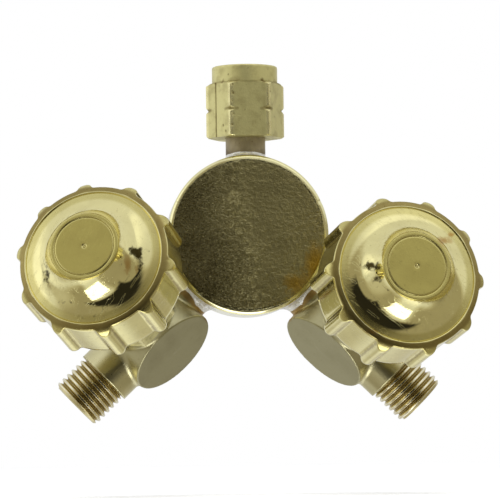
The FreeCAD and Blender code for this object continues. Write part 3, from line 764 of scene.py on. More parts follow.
@dataclass
class InletNut:
    """Swivel nut: notched hexagon with worn edges, round collar and left-hand thread inside."""

    finish: bpy.types.Material
    flats: float = 17.46
    start: float = 25.3
    hex_end: float = 39.3
    end: float = 43.7
    collar: float = 8.4
    chamfer: float = 1.1
    foot_chamfer: float = 0.6
    floor: float = 3.0
    collar_round: float = 0.45
    notch_depth: float = 0.75
    notch_width: float = 1.3
    thread_radius: float = 6.45
    thread_depth: float = 0.75
    thread_pitch: float = 1.41
    thread_length: float = 7.3
    mouth: float = 0.8
    relief: float = 7.25
    hole: float = 5.2
    turn: float = 4.4
    columns: int = 500
    worn: float = 0.22
    knock_depth: float = 0.14
    score_angle: float = -156.0
    score_depth: float = 0.2
    score_width: float = 0.16

    @property
    def waist(self) -> float:
        """Height of the notch round the middle of the hexagon."""
        return (self.start + self.hex_end) / 2

    def limit(self, angle: Array, height: Array) -> Array:
        """Return the radius of the notched and chamfered hexagon.

        Args:
            angle: angles, radians.
            height: heights, millimetres.

        Returns:
            Radius at each point.
        """
        cones = (
            (height - self.start) * CHAMFER_SLOPE - self.foot_chamfer,
            (self.hex_end - height) * CHAMFER_SLOPE - self.chamfer,
            abs(height - self.waist) * 1.5 / self.notch_width - self.notch_depth,
        )
        scored = self.score_depth * self.score(angle, self.score_width)
        knocked = self.knock_depth * self.knocks(angle, height)
        return chamfered(angle, self.flats, cones, self.worn) - scored - knocked

    def score(self, angle: Array, width: float) -> Array:
        """Return the share of each angle that lies in the scored line, width millimetres wide."""
        return bell((angle - math.radians(self.score_angle) - 2 * math.pi) * self.flats / 2, width)

    def knocks(self, angle: Array, height: Array) -> Array:
        """Return the share of each point that lies in one of the small knocks along the edges.

        Args:
            angle: angles, radians.
            height: heights, millimetres.

        Returns:
            Share from 0 to 1.
        """
        share = np.zeros(np.broadcast(angle, height).shape)
        for degrees, above, size in NUT_KNOCKS:
            away = (angle - math.radians(degrees % 360)) * self.flats / 2
            share = np.maximum(share, spot(away, height, 0, above, size, size * 1.3))
        return share

    def build(self) -> None:
        """Build the nut and hide the CAD one."""
        turning = Turning(self.columns)
        angle = turning.angle
        top = self.end - self.mouth
        bottom = top - self.thread_length
        ledge = self.start + self.floor
        turning.rings([(self.hole, self.start), (self.hole + 0.9, self.start)])
        heights = np.linspace(self.start, self.hex_end, 82)
        turning.rings(zip(self.limit(angle, heights[:, None]), heights))
        lip = self.collar_round
        turning.rings((self.collar, z) for z in np.linspace(self.hex_end, self.end - lip - 0.3, 9))
        turning.rings(arc((self.collar - lip, self.end - lip), lip, 0, 90, 6))
        turning.rings([(self.thread_radius + 0.85, self.end), (self.thread_radius + 0.72, self.end - 0.08)])
        for z in np.linspace(top, bottom, 64):
            wave = 1 - abs(2 * np.mod(z / self.thread_pitch + angle / (2 * math.pi), 1) - 1)
            turning.ring(self.thread_radius + self.thread_depth * wave * step(top, top - 0.6, z), z)
        turning.rings([(self.relief, bottom - 0.02), (self.relief, ledge), (self.hole, ledge)])
        radius, height = turning.grids()[:2]
        corner = step(self.flats / 2 + 0.75, self.flats / 2 + 1.15, radius)
        inside = step(self.relief + 0.05, self.relief - 0.15, radius)
        notch = bell(height - self.waist, 0.5) * step(8.9, 9.3, radius)
        foot = bell(height - self.hex_end, 0.35) * step(self.collar - 0.1, self.collar, radius)
        # Darker in the notch, the relief inside, the knocks and the hexagon's foot; along the scored line
        # the darkening is painted shade beside its dent.
        grime_and_shade = 0.6 * notch + 0.3 * inside + 0.9 * self.knocks(angle, height) + 0.5 * foot
        grime_and_shade = grime_and_shade + 0.8 * self.score(angle, 1.5 * self.score_width) * (height < self.hex_end)
        surface = lathe(radius, height, closed=True, polish=0.8 * corner, grime_and_shade=grime_and_shade)
        placement = Placement(HUB_CENTRE, RIGHT, UP, self.turn)
        name = "inlet_swivel_nut"
        add_piece(name, surface, placement, "nut", self.finish, ("inlet_nut",), 38)


@dataclass
class BrazeFillet:
    """Silver braze run round a shank where it enters the hub, uneven as it froze."""

    label: str
    direction: Array
    shank: float
    leg: float
    finish: bpy.types.Material
    seed: float
    reach_across: float = 7.1
    columns: int = 160

    def build(self) -> None:
        """Build the fillet and hide the CAD one."""
        turning = Turning(self.columns)
        angle = turning.angle
        ripple = 1 + 0.05 * np.sin(3 * angle + self.seed) + 0.04 * np.sin(7 * angle + 2 * self.seed)
        room = self.reach_across / np.maximum(abs(np.cos(angle)), 0.05) - self.shank
        leg = smooth_min(self.leg * ripple * 0.95, room, 0.3)
        corners = []
        for phase in np.linspace(0, math.pi / 2, 12):
            reach = self.shank + leg * (1 - math.sin(phase))
            rim = np.sqrt(HUB_RADIUS ** 2 - (reach * np.sin(angle)) ** 2)
            corners.append((reach, rim - 0.04 + leg * (1 - math.cos(phase))))
        inside = self.shank - 0.12
        base = np.sqrt(HUB_RADIUS ** 2 - (self.shank * np.sin(angle)) ** 2)
        corners += [(inside, corners[-1][1] - 0.02), (inside, base - 0.5)]
        turning.rings([*corners, (self.shank + leg - 0.1, corners[0][1] - 0.4)])
        radius, height = turning.grids()[:2]
        surface = lathe(radius, height, closed=True)
        placement = Placement(HUB_CENTRE, BACK, self.direction)
        name = f"{self.label}_braze"
        add_piece(f"{name}_run", surface, placement, "fitting", self.finish, (name,), 50)


def cylinder(around: Array, radius: float, along: Array, low: float, high: float = math.inf) -> Array:
    """Return the distance from a cylinder of points at some distance around and along its axis."""
    return np.maximum(around - radius, np.maximum(low - along, along - high))


@dataclass
class ValveForging:
    """Forged and milled valve body: round with two flats, shank, bonnet boss and outlet collar."""

    side: Side
    finish: bpy.types.Material
    radius: float = 12.0
    half_width: float = 8.75
    edge: float = 0.35
    shank_length: float = 20.0
    shank_blend: float = 0.6
    boss: float = 8.4
    boss_height: float = 16.0
    boss_blend: float = 0.9
    neck: float = 7.9
    neck_top: float = 23.0
    collar: float = 7.55
    collar_end: float = 17.0
    collar_blend: float = 1.3
    outlet_hollow: tuple = (4.6, 14.5)
    packing_hollow: tuple = (5.2, 17.0)
    chamber: tuple = (4.35, 2.4)
    cell: float = 0.36
    box_low: tuple = (-20.6, -9.5, -12.8)
    box_high: tuple = (17.8, 9.5, 23.8)

    def distance(self, points: Array) -> Array:
        """Return the signed distance from the body's skin.

        Args:
            points: rows of x, y, z in the valve's frame.

        Returns:
            Distance in millimetres, below zero inside.
        """
        x, y, z = points[..., 0], points[..., 1], points[..., 2]
        across = np.hypot(x, z) - self.radius + self.edge
        thick = abs(y) - self.half_width + self.edge
        coin = np.minimum(np.maximum(across, thick), 0) - self.edge
        coin = coin + np.hypot(np.maximum(across, 0), np.maximum(thick, 0))
        round_x, round_z = np.hypot(y, z), np.hypot(x, y)
        body = smooth_min(coin, cylinder(round_x, self.collar, x, 0, self.collar_end), self.collar_blend)
        body = smooth_min(body, cylinder(round_x, VALVE_SHANK, x, -self.shank_length, 0), self.shank_blend)
        body = smooth_min(body, cylinder(round_z, self.boss, z, 0, self.boss_height), self.boss_blend)
        body = np.minimum(body, cylinder(round_z, self.neck, z, 0, self.neck_top))
        for around, along, (radius, low) in (
            (round_x, x, self.outlet_hollow),
            (round_z, z, self.packing_hollow),
            (round_z, z, self.chamber),
        ):
            body = np.maximum(body, -cylinder(around, radius, along, low))
        return body

    def build(self) -> None:
        """Build the body by surface nets and hide the CAD one."""
        points, faces = surface_nets(self.distance, self.box_low, self.box_high, self.cell)
        x, y, z = points.T
        flat = step(self.half_width - 0.25, self.half_width - 0.05, abs(y))
        polish = (1 - flat) * (0.3 + 0.5 * step(10.5, 13.0, x))
        near_hub = step(-10.8, -12.2, x)
        grime_and_shade = 0.35 * near_hub + 0.15 * step(11.0, 12.0, np.hypot(x, z)) * flat
        normals = gradient(self.distance, points)
        surface = Surface(points, faces, polish, grime_and_shade, 0.7 * near_hub, normals)
        name, place = f"{self.side.label}_valve", self.side.placement()
        replaced = (f"{name}_body",)
        add_piece(f"{name}_forging", surface, place, "fitting", self.finish, replaced)


def gradient(distance: Callable, points: Array) -> Array:
    """Return the unit gradient of a distance field at rows of x, y, z."""
    slope = np.stack([distance(points + axis) - distance(points - axis) for axis in np.eye(3) * 0.02], -1)
    return slope / np.maximum(np.linalg.norm(slope, axis=-1, keepdims=True), 1e-9)


def surface_nets(distance: Callable, low: tuple, high: tuple, cell: float) -> tuple[Array, list]:
    """Mesh the zero level of a distance field with one point per crossed cell.

    Args:
        distance: function of points.
        low: lowest corner of the sampled box.
        high: highest corner.
        cell: size of a cell.

    Returns:
        Points and quadrilateral faces.
    """
    axes = [np.arange(a, b, cell) for a, b in zip(low, high)]
    grid = np.stack(np.meshgrid(*axes, indexing="ij"), -1)
    inside = distance(grid) < 0
    cells = [n - 1 for n in inside.shape]
    corners = np.zeros(cells, int)
    for start in itertools.product((0, 1), repeat=3):
        corners += inside[tuple(slice(i, i + n) for i, n in zip(start, cells))]
    active = (corners > 0) & (corners < 8)
    index = np.full(active.shape, -1)
    index[active] = np.arange(active.sum())
    points = np.array(low) + (np.argwhere(active) + 0.5) * cell
    for _ in range(6):
        move = gradient(distance, points) * distance(points)[:, None]
        points = points - np.clip(move, -cell / 2, cell / 2)
    faces = []
    for axis in range(3):
        first = np.moveaxis(inside, axis, 0)
        near = np.moveaxis(index, axis, 0)
        a, b, c = np.nonzero((first[1:] != first[:-1])[:, 1:-1, 1:-1])
        quad = np.stack([near[a, b, c], near[a, b + 1, c], near[a, b + 1, c + 1], near[a, b, c + 1]], -1)
        outward = first[:-1][:, 1:-1, 1:-1][a, b, c]
        flip = outward if axis != 1 else ~outward
        quad[~flip] = quad[~flip][:, ::-1]
        faces += quad[(quad >= 0).all(1)].tolist()
    return points, faces


@dataclass
class OutletThread:
    """Left-hand outlet thread with its chamfered end, seat cone and bore."""

    side: Side
    finish: bpy.types.Material
    crest: float = 7.14
    depth: float = 0.95
    pitch: float = 1.6
    root_share: float = 0.1
    flank_share: float = 0.62
    start: float = 17.0
    end: float = 27.0
    chamfer: float = 0.8
    mouth: float = 5.2
    bore: float = 3.4
    cone: float = 1.75
    bore_floor: float = 19.0
    way_start: float = 16.2
    columns: int = 168

    def build(self) -> None:
        """Build the thread on the end of the outlet."""
        turning = Turning(self.columns)
        heights = np.append(self.start - 1.1, np.linspace(self.start - 0.3, self.end, 300))
        for z in heights:
            wave = 1 - abs(2 * np.mod(z / self.pitch + turning.angle / (2 * math.pi), 1) - 1)
            wave = np.clip((wave - self.root_share) / self.flank_share, 0, 1)
            neck = self.crest - self.depth * step(self.start + 0.75, self.start + 0.2, z)
            radius = np.minimum(self.crest - self.depth * (1 - wave), neck)
            turning.ring(smooth_min(radius, self.crest - self.chamfer + self.end - z, 0.12), z)
        turning.rings([(6.0, self.end), (self.mouth + 0.15, self.end), (self.mouth, self.end - 0.1)])
        turning.rings([(self.bore + 0.05, self.end - self.cone), (self.bore, self.end - self.cone - 0.2)])
        turning.rings((self.bore, z) for z in (24.0, 22.0, 20.0, self.bore_floor))
        turning.rings([(GAS_WAY, self.bore_floor), (GAS_WAY, self.way_start)])
        radius, height = turning.grids()[:2]
        outer = np.zeros_like(radius)
        outer[:len(heights)] = 1
        root = outer * step(self.crest - 0.35, self.crest - self.depth + 0.05, radius)
        root = root * (height < self.end - 0.9)
        crest = outer * step(self.crest - 0.3, self.crest - 0.05, radius)
        # Painted shade, deepening from the mouth into the bore.
        dark = step(self.end - 1.5, self.end - 6.0, height) * (1 - outer)
        surface = lathe(radius, height, polish=0.85 * crest, grime_and_shade=0.6 * root + 0.8 * dark)
        valve = self.side.placement()
        placement = Placement(valve.origin, valve.z_axis, self.side.outlet)
        name = f"{self.side.label}_outlet_thread"
        add_piece(name, surface, placement, "fitting", self.finish, (), 75)


@dataclass
class PackingNut:
    """Hexagonal packing nut with a domed top, behind the wheel."""

    side: Side
    finish: bpy.types.Material
    flats: float = 19.05
    bottom: float = 16.2
    hex_top: float = 25.2
    top: float = 28.5
    top_radius: float = 5.5
    chamfer: float = 0.9
    bore: float = 7.95
    bore_top: float = 24.5
    hole: float = 3.255
    turn: float = 5.0
    worn: float = 0.2
    columns: int = 300

    def build(self) -> None:
        """Build the nut and hide the CAD one."""
        turning = Turning(self.columns)
        heights = np.linspace(self.hex_top, self.bottom, 48)
        ends = (heights - self.bottom, self.hex_top - heights)
        cones = tuple(end[:, None] * CHAMFER_SLOPE - self.chamfer for end in ends)
        side = chamfered(turning.angle, self.flats, cones, self.worn)
        swell = self.flats / 2 - self.chamfer / 2 - self.top_radius
        rise = self.top - self.hex_top
        turning.ring(self.hole, self.top)
        for a in np.linspace(0, math.pi / 2 - 0.05, 12):
            turning.ring(self.top_radius + swell * math.sin(a), self.hex_top + rise * math.cos(a))
        turning.rings(zip(side, heights))
        turning.rings([(self.bore, self.bottom), (self.bore, self.bore_top), (self.hole, self.bore_top)])
        radius, height = turning.grids()[:2]
        edge = step(self.flats / 2 + 0.9, self.flats / 2 + 1.3, radius)
        surface = lathe(radius, height, True, True, polish=0.6 * edge, grime_and_shade=0.25 * (1 - edge))
        name, place = f"{self.side.label}_packing", self.side.placement(self.turn)
        replaced = (f"{name}_nut",)
        add_piece(f"{name}_hexagon", surface, place, "fitting", self.finish, replaced, 38)


# Profile of the dimple in the wheel's centre: radius, height over the boss.
DIMPLE = ((0.1, -0.4), (0.25, -0.31), (0.42, -0.1), (0.56, -0.02), (0.75, 0.0))
DIMPLE_RADIUS = 0.7
# Profile of the groove round the boss: radius from the groove's, height, share of darkening.
GROOVE = ((-0.22, 0.0, 0.0), (-0.12, -0.05, 0.1), (0.0, -0.17, 0.35), (0.12, -0.05, 0.1), (0.22, 0.0, 0.0))
# Profile of the ring's lip: radius from the ring's edge, height over the ring's top.
LIP = ((-0.36, -0.28), (-0.26, -0.22), (-0.14, -0.05), (-0.04, 0.01), (0.12, 0.0))
# Spots on a wheel's face: kind, right of and above the boss's centre, width, height, share. The
# dark_reflection spots are painted dark reflections.
SPOTS = {
    Side.LEFT: (
        ("dark_reflection", 12.3, -1.2, 2.6, 1.3, 0.75),
        ("dark_reflection", 13.2, -4.2, 1.3, 2.6, 0.6),
        ("dark_reflection", 8.9, -4.4, 0.7, 2.2, 0.45),
        ("stain", 10.4, -4.6, 1.2, 2.6, 0.75),
        ("stain", 12.6, -5.4, 0.6, 1.8, 0.6),
        ("dark_reflection", -8.9, -6.8, 1.2, 2.2, 0.72),
        ("dark_reflection", -9.6, -3.6, 0.7, 1.4, 0.42),
        ("dark_reflection", -4.6, -13.1, 1.8, 0.8, 0.5),
        ("grime_and_shade", -9.0, -9.4, 2.4, 1.6, 0.3),
        ("dark_reflection", 0.4, -16.8, 2.4, 0.8, 0.42),
    ),
    Side.RIGHT: (
        ("stain", 7.6, 6.6, 2.6, 1.0, 0.8),
        ("stain", 9.8, 8.2, 1.2, 0.6, 0.8),
        ("dark_reflection", -10.8, 0.2, 2.6, 1.2, 0.8),
        ("dark_reflection", -9.6, -3.0, 1.6, 1.6, 0.6),
        ("dark_reflection", -6.8, -5.6, 1.6, 0.9, 0.46),
        ("dark_reflection", 8.4, -1.4, 0.8, 0.9, 0.45),
        ("stain", -11.0, -15.6, 2.4, 1.0, 0.5),
        ("grime_and_shade", -2.0, -14.0, 3.0, 1.2, 0.25),
    ),
}


@dataclass
class Handwheel:
    """Hollow ten-lobed handwheel: satin boss, polished hollow flank, flat ring, turned edge and skirt.

    Each row of its profile carries its own polish and its share of tarnish and painted shade.
    """

    side: Side
    finish: bpy.types.Material
    reach: float = 60.6
    boss: float = 8.5
    boss_round: float = 0.28
    boss_wall: float = 0.45
    satin: float = 0.08
    face_drop: float = 7.6
    marked_depth: float = 8.0
    flank_width: float = 5.8
    flank_round: float = 12.0
    flank_blend: float = 1.5
    ring_slope: float = 0.18
    rim: float = 18.6
    ring_edge: float = 17.1
    depth: float = 15.0
    edge_drop: float = 2.7
    edge_round: float = 4.4
    edge_margin: float = 0.3
    lobe_height: float = 1.7
    lobe_round: float = 1.75
    lobe_fillet: float = 1.1
    lobes: int = 10
    wall: float = 2.2
    web: float = 2.4
    inside_round: float = 1.5
    sleeve: float = 5.4
    sleeve_back: float = 2.0
    hole: float = 3.195
    crown: float = 3.6
    groove: float = 7.4
    columns: int = 560

    @property
    def top(self) -> float:
        """Height of the ring."""
        return self.reach - self.face_drop

    @property
    def back(self) -> float:
        """Height of the skirt's back edge."""
        return self.top - self.depth

    def outline(self, angle: Array) -> Array:
        """Return the radius of the lobed skirt.

        Args:
            angle: angles, radians.

        Returns:
            Radius at each angle.
        """
        pitch = 2 * math.pi / self.lobes
        off = abs(np.mod(angle + pitch / 2, pitch) - pitch / 2)
        centre = self.rim + self.lobe_height - self.lobe_round
        swept = self.rim + self.lobe_fillet
        joined = self.lobe_round + self.lobe_fillet
        foot = math.acos((swept ** 2 + centre ** 2 - joined ** 2) / (2 * swept * centre))
        share = self.lobe_round / joined
        touch_x = centre + share * (swept * math.cos(foot) - centre)
        touch = math.atan2(share * swept * math.sin(foot), touch_x)
        crest_angle = np.minimum(off, touch)
        crest = centre * np.cos(crest_angle)
        crest = crest + np.sqrt(self.lobe_round ** 2 - (centre * np.sin(crest_angle)) ** 2)
        hollow_angle = np.clip(off, touch, foot) - foot
        root = np.maximum(self.lobe_fillet ** 2 - (swept * np.sin(hollow_angle)) ** 2, 0)
        hollow = swept * np.cos(hollow_angle) - np.sqrt(root)
        return np.where(off < touch, crest, np.where(off < foot, hollow, self.rim))

    def edge_height(self, radius: Array) -> Array:
        """Return the height of the turned front edge.

        Args:
            radius: radii beyond the ring's edge.

        Returns:
            Height at each radius.
        """
        end = self.rim + self.lobe_height + self.edge_margin
        chord = np.array([end - self.ring_edge, -self.edge_drop])
        centre = arc_centre(np.array([self.ring_edge, self.top]), chord, self.edge_round)
        return centre[1] + np.sqrt(self.edge_round ** 2 - (radius - centre[0]) ** 2)

    def face_height(self, radius: Array) -> Array:
        """Return the height of the hollow flank and of the ring, which falls gently outward.

        Args:
            radius: radii between the boss and the ring's lip.

        Returns:
            Height at each radius.
        """
        foot = np.array([self.boss + self.flank_width, self.top])
        chord = np.array([self.boss, self.reach - self.boss_wall]) - foot
        centre = arc_centre(foot, chord, self.flank_round)
        flank = centre[1] - np.sqrt(self.flank_round ** 2 - (radius - centre[0]) ** 2)
        ring = foot[1] + 0.25 - self.ring_slope * (radius - foot[0])
        return -smooth_min(-flank, -ring, self.flank_blend)

    def turn_face(self, turning: Turning) -> None:
        """Add the rows of the boss, the flank and the ring with its lip.

        Args:
            turning: the wheel's rows so far.
        """
        for r, z in DIMPLE:
            turning.ring(r, self.reach + z, 0.5 if r < DIMPLE_RADIUS else 0.0)
        turning.rings((r, self.reach) for r in np.linspace(1.6, self.groove - 0.5, 9))
        for r, z, grime_and_shade in GROOVE:
            turning.ring(self.groove + r, self.reach + z, 0.25, grime_and_shade)
        flat = np.linspace(self.groove + 0.45, self.boss - 0.4, 4)
        turning.rings(((r, self.reach) for r in flat), self.satin)
        centre = (self.boss - self.boss_round, self.reach - self.boss_round)
        turning.rings(arc(centre, self.boss_round, 80, 0, 5), self.satin)
        turning.ring(self.boss, self.reach - self.boss_wall, 0.2)
        crease = self.boss + self.flank_width
        # Rows lie closer where the flank is steep, next to the boss.
        sweep = np.linspace(0, 1, 60) ** 1.5
        for r in self.boss + 0.06 + (self.ring_edge - 0.5 - self.boss) * sweep:
            turning.ring(r, self.face_height(r), 1.0 - 0.6 * step(crease + 0.2, crease + 1.2, r))
        turning.rings(((self.ring_edge + r, self.top + z) for r, z in LIP), 1.0)

    def turn_skirt(self, turning: Turning) -> None:
        """Add the rows of the turned front edge and of the lobed skirt.

        Args:
            turning: the wheel's rows so far.
        """
        skirt = self.outline(turning.angle)
        for t in np.linspace(0.12, 1, 12):
            r = self.ring_edge + (skirt - 0.25 - self.ring_edge) * t
            turning.ring(r, self.edge_height(r), 0.35, 0.1 + 0.55 * step(self.rim + 0.9, self.rim - 0.2, r))
        corner = self.edge_height(skirt)
        # Painted shade darkens the foot of each lobe.
        lobe_foot_shade = 0.5 * step(0.55, 0.0, abs(skirt - self.rim - 0.35)) * step(0.02, 0.12, skirt - self.rim)
        turning.ring(skirt - 0.06, corner - 0.12, 0.7, 0.1)
        for drop in (0.4, 0.9):
            turning.ring(skirt, corner - drop, 0.85, lobe_foot_shade)
        for t in np.linspace(0.12, 1, 14):
            turning.ring(skirt, (corner - 0.9) * (1 - t) + (self.back + 0.35) * t, 0.8, lobe_foot_shade)
        turning.ring(skirt - 0.1, self.back + 0.1, 0.9)
        turning.ring(skirt - 0.35, self.back, 0.7, 0.1)

    def turn_inside(self, turning: Turning) -> None:
        """Add the rows of the hollow behind the face, the sleeve and its hole.

        Args:
            turning: the wheel's rows so far.
        """
        inner = self.rim - self.wall
        ceiling = self.top - self.web
        turning.ring(inner + 0.3, self.back, 0.5, 0.2)
        turning.ring(inner, self.back + 0.3, 0.4, 0.3)
        inside = np.linspace(self.back + 2, ceiling - self.inside_round, 6)
        turning.rings(((inner, z) for z in inside), 0.3, 0.35)
        centre = (inner - self.inside_round, ceiling - self.inside_round)
        turning.rings(arc(centre, self.inside_round, 0, 90, 7), 0.3, 0.4)
        foot, crown = self.back - self.sleeve_back, self.reach - self.crown
        turning.rings([(self.sleeve + 3, ceiling), (self.sleeve, ceiling)], 0.4, 0.3)
        turning.rings([(self.sleeve, self.back), (self.sleeve, foot + 0.2)], 0.4, 0.3)
        turning.rings([(self.sleeve - 0.2, foot), (self.hole, foot)], 0.3, 0.3)
        turning.rings([(self.hole, crown), (0.3, crown)], 0.3, 0.3)

    def build(self) -> None:
        """Build the wheel and hide the CAD one."""
        turning = Turning(self.columns)
        self.turn_face(turning)
        self.turn_skirt(turning)
        self.turn_inside(turning)
        radius, height, polish, grime_and_shade = turning.grids()
        surface = lathe(radius, height, flip=True, polish=polish, grime_and_shade=grime_and_shade)
        name, place = self.side.label, self.side.placement(self.side.wheel_turn)
        self.mark(surface, place)
        body, replaced = f"{name}_spindle", (f"{name}_handwheel",)
        add_piece(f"{name}_lobed_wheel", surface, place, body, self.finish, replaced, 42)

    def mark(self, surface: Surface, placement: Placement) -> None:
        """Add the stains, darker spots and painted dark reflections of this wheel's face.

        Args:
            surface: the wheel.
            placement: its place, in which each spot lies right of and above the boss's centre.
        """
        centre = placement.place(np.array([[0, 0, self.reach]]))
        across, _, up = ((placement.place(surface.points) - centre) * 1000).T
        deepest = self.reach - self.marked_depth
        front = step(deepest - 1, deepest, surface.points[:, 2])
        for kind, *place, amount in SPOTS[self.side]:
            setattr(surface, kind, getattr(surface, kind) + amount * front * spot(across, up, *place))


@dataclass
class Studio:
    """Pale floor, surround that is white to the camera but not in reflections, soft lamp and camera."""

    floor_height: float = -0.066
    floor_reach: float = 3.0
    distance: float = 850.0
    yaw: float = 3.761
    pitch: float = -3.591
    roll: float = -0.758
    lens: float = 238.45
    sensor: float = 36.0
    picture_px: int = 500
    centre_px: tuple = (246.669, 236.767)
    lamp_toward: tuple = (-0.1, -0.3, 1.0)
    lamp_distance: float = 1.2
    lamp_size: float = 0.8
    lamp_power: float = 6.0

    def camera(self) -> None:
        """Place the camera as the photograph's was, with the hub's centre at its pixel."""
        scale = self.distance / (self.lens / self.sensor * self.picture_px)
        half = self.picture_px / 2
        aside, above = (self.centre_px[0] - half) * scale, (half - self.centre_px[1]) * scale
        turn = rotation(1, self.roll) @ (rotation(0, self.pitch) @ rotation(2, self.yaw))
        place = (HUB_CENTRE - turn.T @ np.array([aside, self.distance, above])) / 1000
        data = bpy.data.cameras.new("camera")
        data.lens = self.lens
        data.sensor_width = self.sensor
        data.clip_start = 0.01
        camera = new_object("camera", data)
        camera.matrix_world = pose(turn[0], turn[2], -turn[1], place)
        bpy.context.scene.camera = camera

    def floor(self) -> None:
        """Lay the pale floor, which keeps the object's soft shadow."""
        mesh = bpy.data.meshes.new("floor")
        size = self.floor_reach
        corners = [(-size, -size), (size, -size), (size, size), (-size, size)]
        mesh.from_pydata([(x, y, self.floor_height) for x, y in corners], [], [(0, 1, 2, 3)])
        # Painted board: matte, faintly uneven, a little brighter to the camera than it is lit.
        material = bpy.data.materials.new("matte_white_floor")
        tree = emptied(material)
        grain = Signal(tree, add(tree, "ShaderNodeTexNoise", {"Scale": 4.0, "Detail": 2.0}).outputs["Fac"])
        sockets = {
            "Base Color": grain.blend(linear("f4f4f2"), linear("fbfbfa")),
            "Roughness": 0.9,
            "Emission Color": WHITE,
            "Emission Strength": source(tree, "ShaderNodeLightPath", "Is Camera Ray") * 0.3,
        }
        shader = grain.via("ShaderNodeBsdfPrincipled", "BSDF", sockets)
        add(tree, "ShaderNodeOutputMaterial", {"Surface": shader})
        mesh.materials.append(material)
        floor = new_object("floor", mesh)
        floor.visible_glossy = False

    def world(self) -> None:
        """Surround the object with white, dimmer towards the front where the photographer stood."""
        world = bpy.data.worlds.new("studio")
        bpy.context.scene.world = world
        tree = emptied(world)
        direction = source(tree, "ShaderNodeTexCoord", "Generated")
        x, y, z = direction.parts()
        aside = abs(x)
        # Bright ceiling and rear wall in a dimmer room.
        ceiling = part(1.0, (z, 0.15, 0.28), (y, -0.85, -0.35))
        rear = part(1.0, (y, 0.0, 0.4), (x, 0.8, 0.5))
        level = ceiling.maths("MAXIMUM", rear) * 0.44 + 0.36
        # Shade low at the rear, and a brighter wall at the left.
        level = level + part(-0.2, (z, -0.2, -0.5), (y, 0.3, 0.6))
        level = level + part(0.2, (x, -0.65, -0.9))
        # Soft lights high in front and high at the left, and the bench below.
        level = level + part(0.34, (direction.toward((0.3, -0.6, 0.75)), 0.86, 0.93))
        level = level + part(0.25, (direction.toward((-0.9, -0.3, 0.4)), 0.89, 0.95))
        level = level + part(0.45, (z, -0.45, -0.65), (aside, 0.42, 0.2))
        # The photographer's dark place in front, wider below, takes a share of what is there.
        flare = z.maths("MINIMUM", 0.0) * 0.5 + aside
        dark = part(-0.94, (y, -0.35, -0.5), (flare, 0.38, 0.27), (abs(z + 0.06), 0.5, 0.36))
        level = level + level * dark
        # Small bright window low in front.
        ahead, over = direction.toward((-0.07, -0.44, -0.9)), direction.toward((0.07, -0.9, 0.44))
        window = part(2.2, (ahead, 0.0, 0.1), (abs(x + 0.07), 0.33, 0.3), (abs(over), 0.33, 0.3))
        level = level + window
        tint = level.band(0.3, 0.85).blend(linear("fff6dc"), linear("f8faff"))
        sky = level.via("ShaderNodeBackground", 0, {"Color": tint, "Strength": level})
        white = level.via("ShaderNodeBackground", 0, {"Color": WHITE, "Strength": 1.0})
        seen = source(tree, "ShaderNodeLightPath", "Is Camera Ray")
        mix = seen.via("ShaderNodeMixShader", 0, {0: seen, 1: sky, 2: white})
        add(tree, "ShaderNodeOutputWorld", {"Surface": mix})

    def lamp(self) -> None:
        """Hang a soft lamp high in front, which faces the object and stays out of its reflections."""
        data = bpy.data.lights.new("softbox", "AREA")
        data.shape = "RECTANGLE"
        data.size = data.size_y = self.lamp_size
        data.energy = self.lamp_power
        away = unit(np.array(self.lamp_toward))
        side = unit(np.cross(UP, away))
        lamp = new_object("softbox", data)
        lamp.matrix_world = pose(side, np.cross(away, side), away, away * self.lamp_distance)
        lamp.visible_glossy = False

    def build(self) -> None:
        """Set the stage."""
        bpy.context.scene.view_settings.view_transform = "Standard"
        self.camera()
        self.floor()
        self.world()
        self.lamp()


def rotation(axis: int, degrees: float) -> Array:
    """Return the matrix of a turn about one axis.

    Args:
        axis: 0 for X, 1 for Y, 2 for Z.
        degrees: the turn.

    Returns:
        The 3 by 3 matrix.
    """
    first, second = (axis + 1) % 3, (axis + 2) % 3
    matrix = np.eye(3)
    matrix[first, first] = matrix[second, second] = math.cos(math.radians(degrees))
    matrix[second, first] = math.sin(math.radians(degrees))
    matrix[first, second] = -matrix[second, first]
    return matrix


def pose(right: Array, up: Array, back: Array, place: Array) -> Matrix:
    """Return the world matrix of a camera or lamp from its three axes and its place."""
    return Matrix([*np.stack([right, up, back, place], 1).tolist(), (0, 0, 0, 1)])


def dress(node: str, material: bpy.types.Material) -> None:
    """Give a kept CAD node its finish.

    Args:
        node: name of the node.
        material: its finish.
    """
    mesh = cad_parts[node].data
    mesh.materials.clear()
    mesh.materials.append(material)
    log.info("%s keeps its solid, dressed in %s", node, material.name)


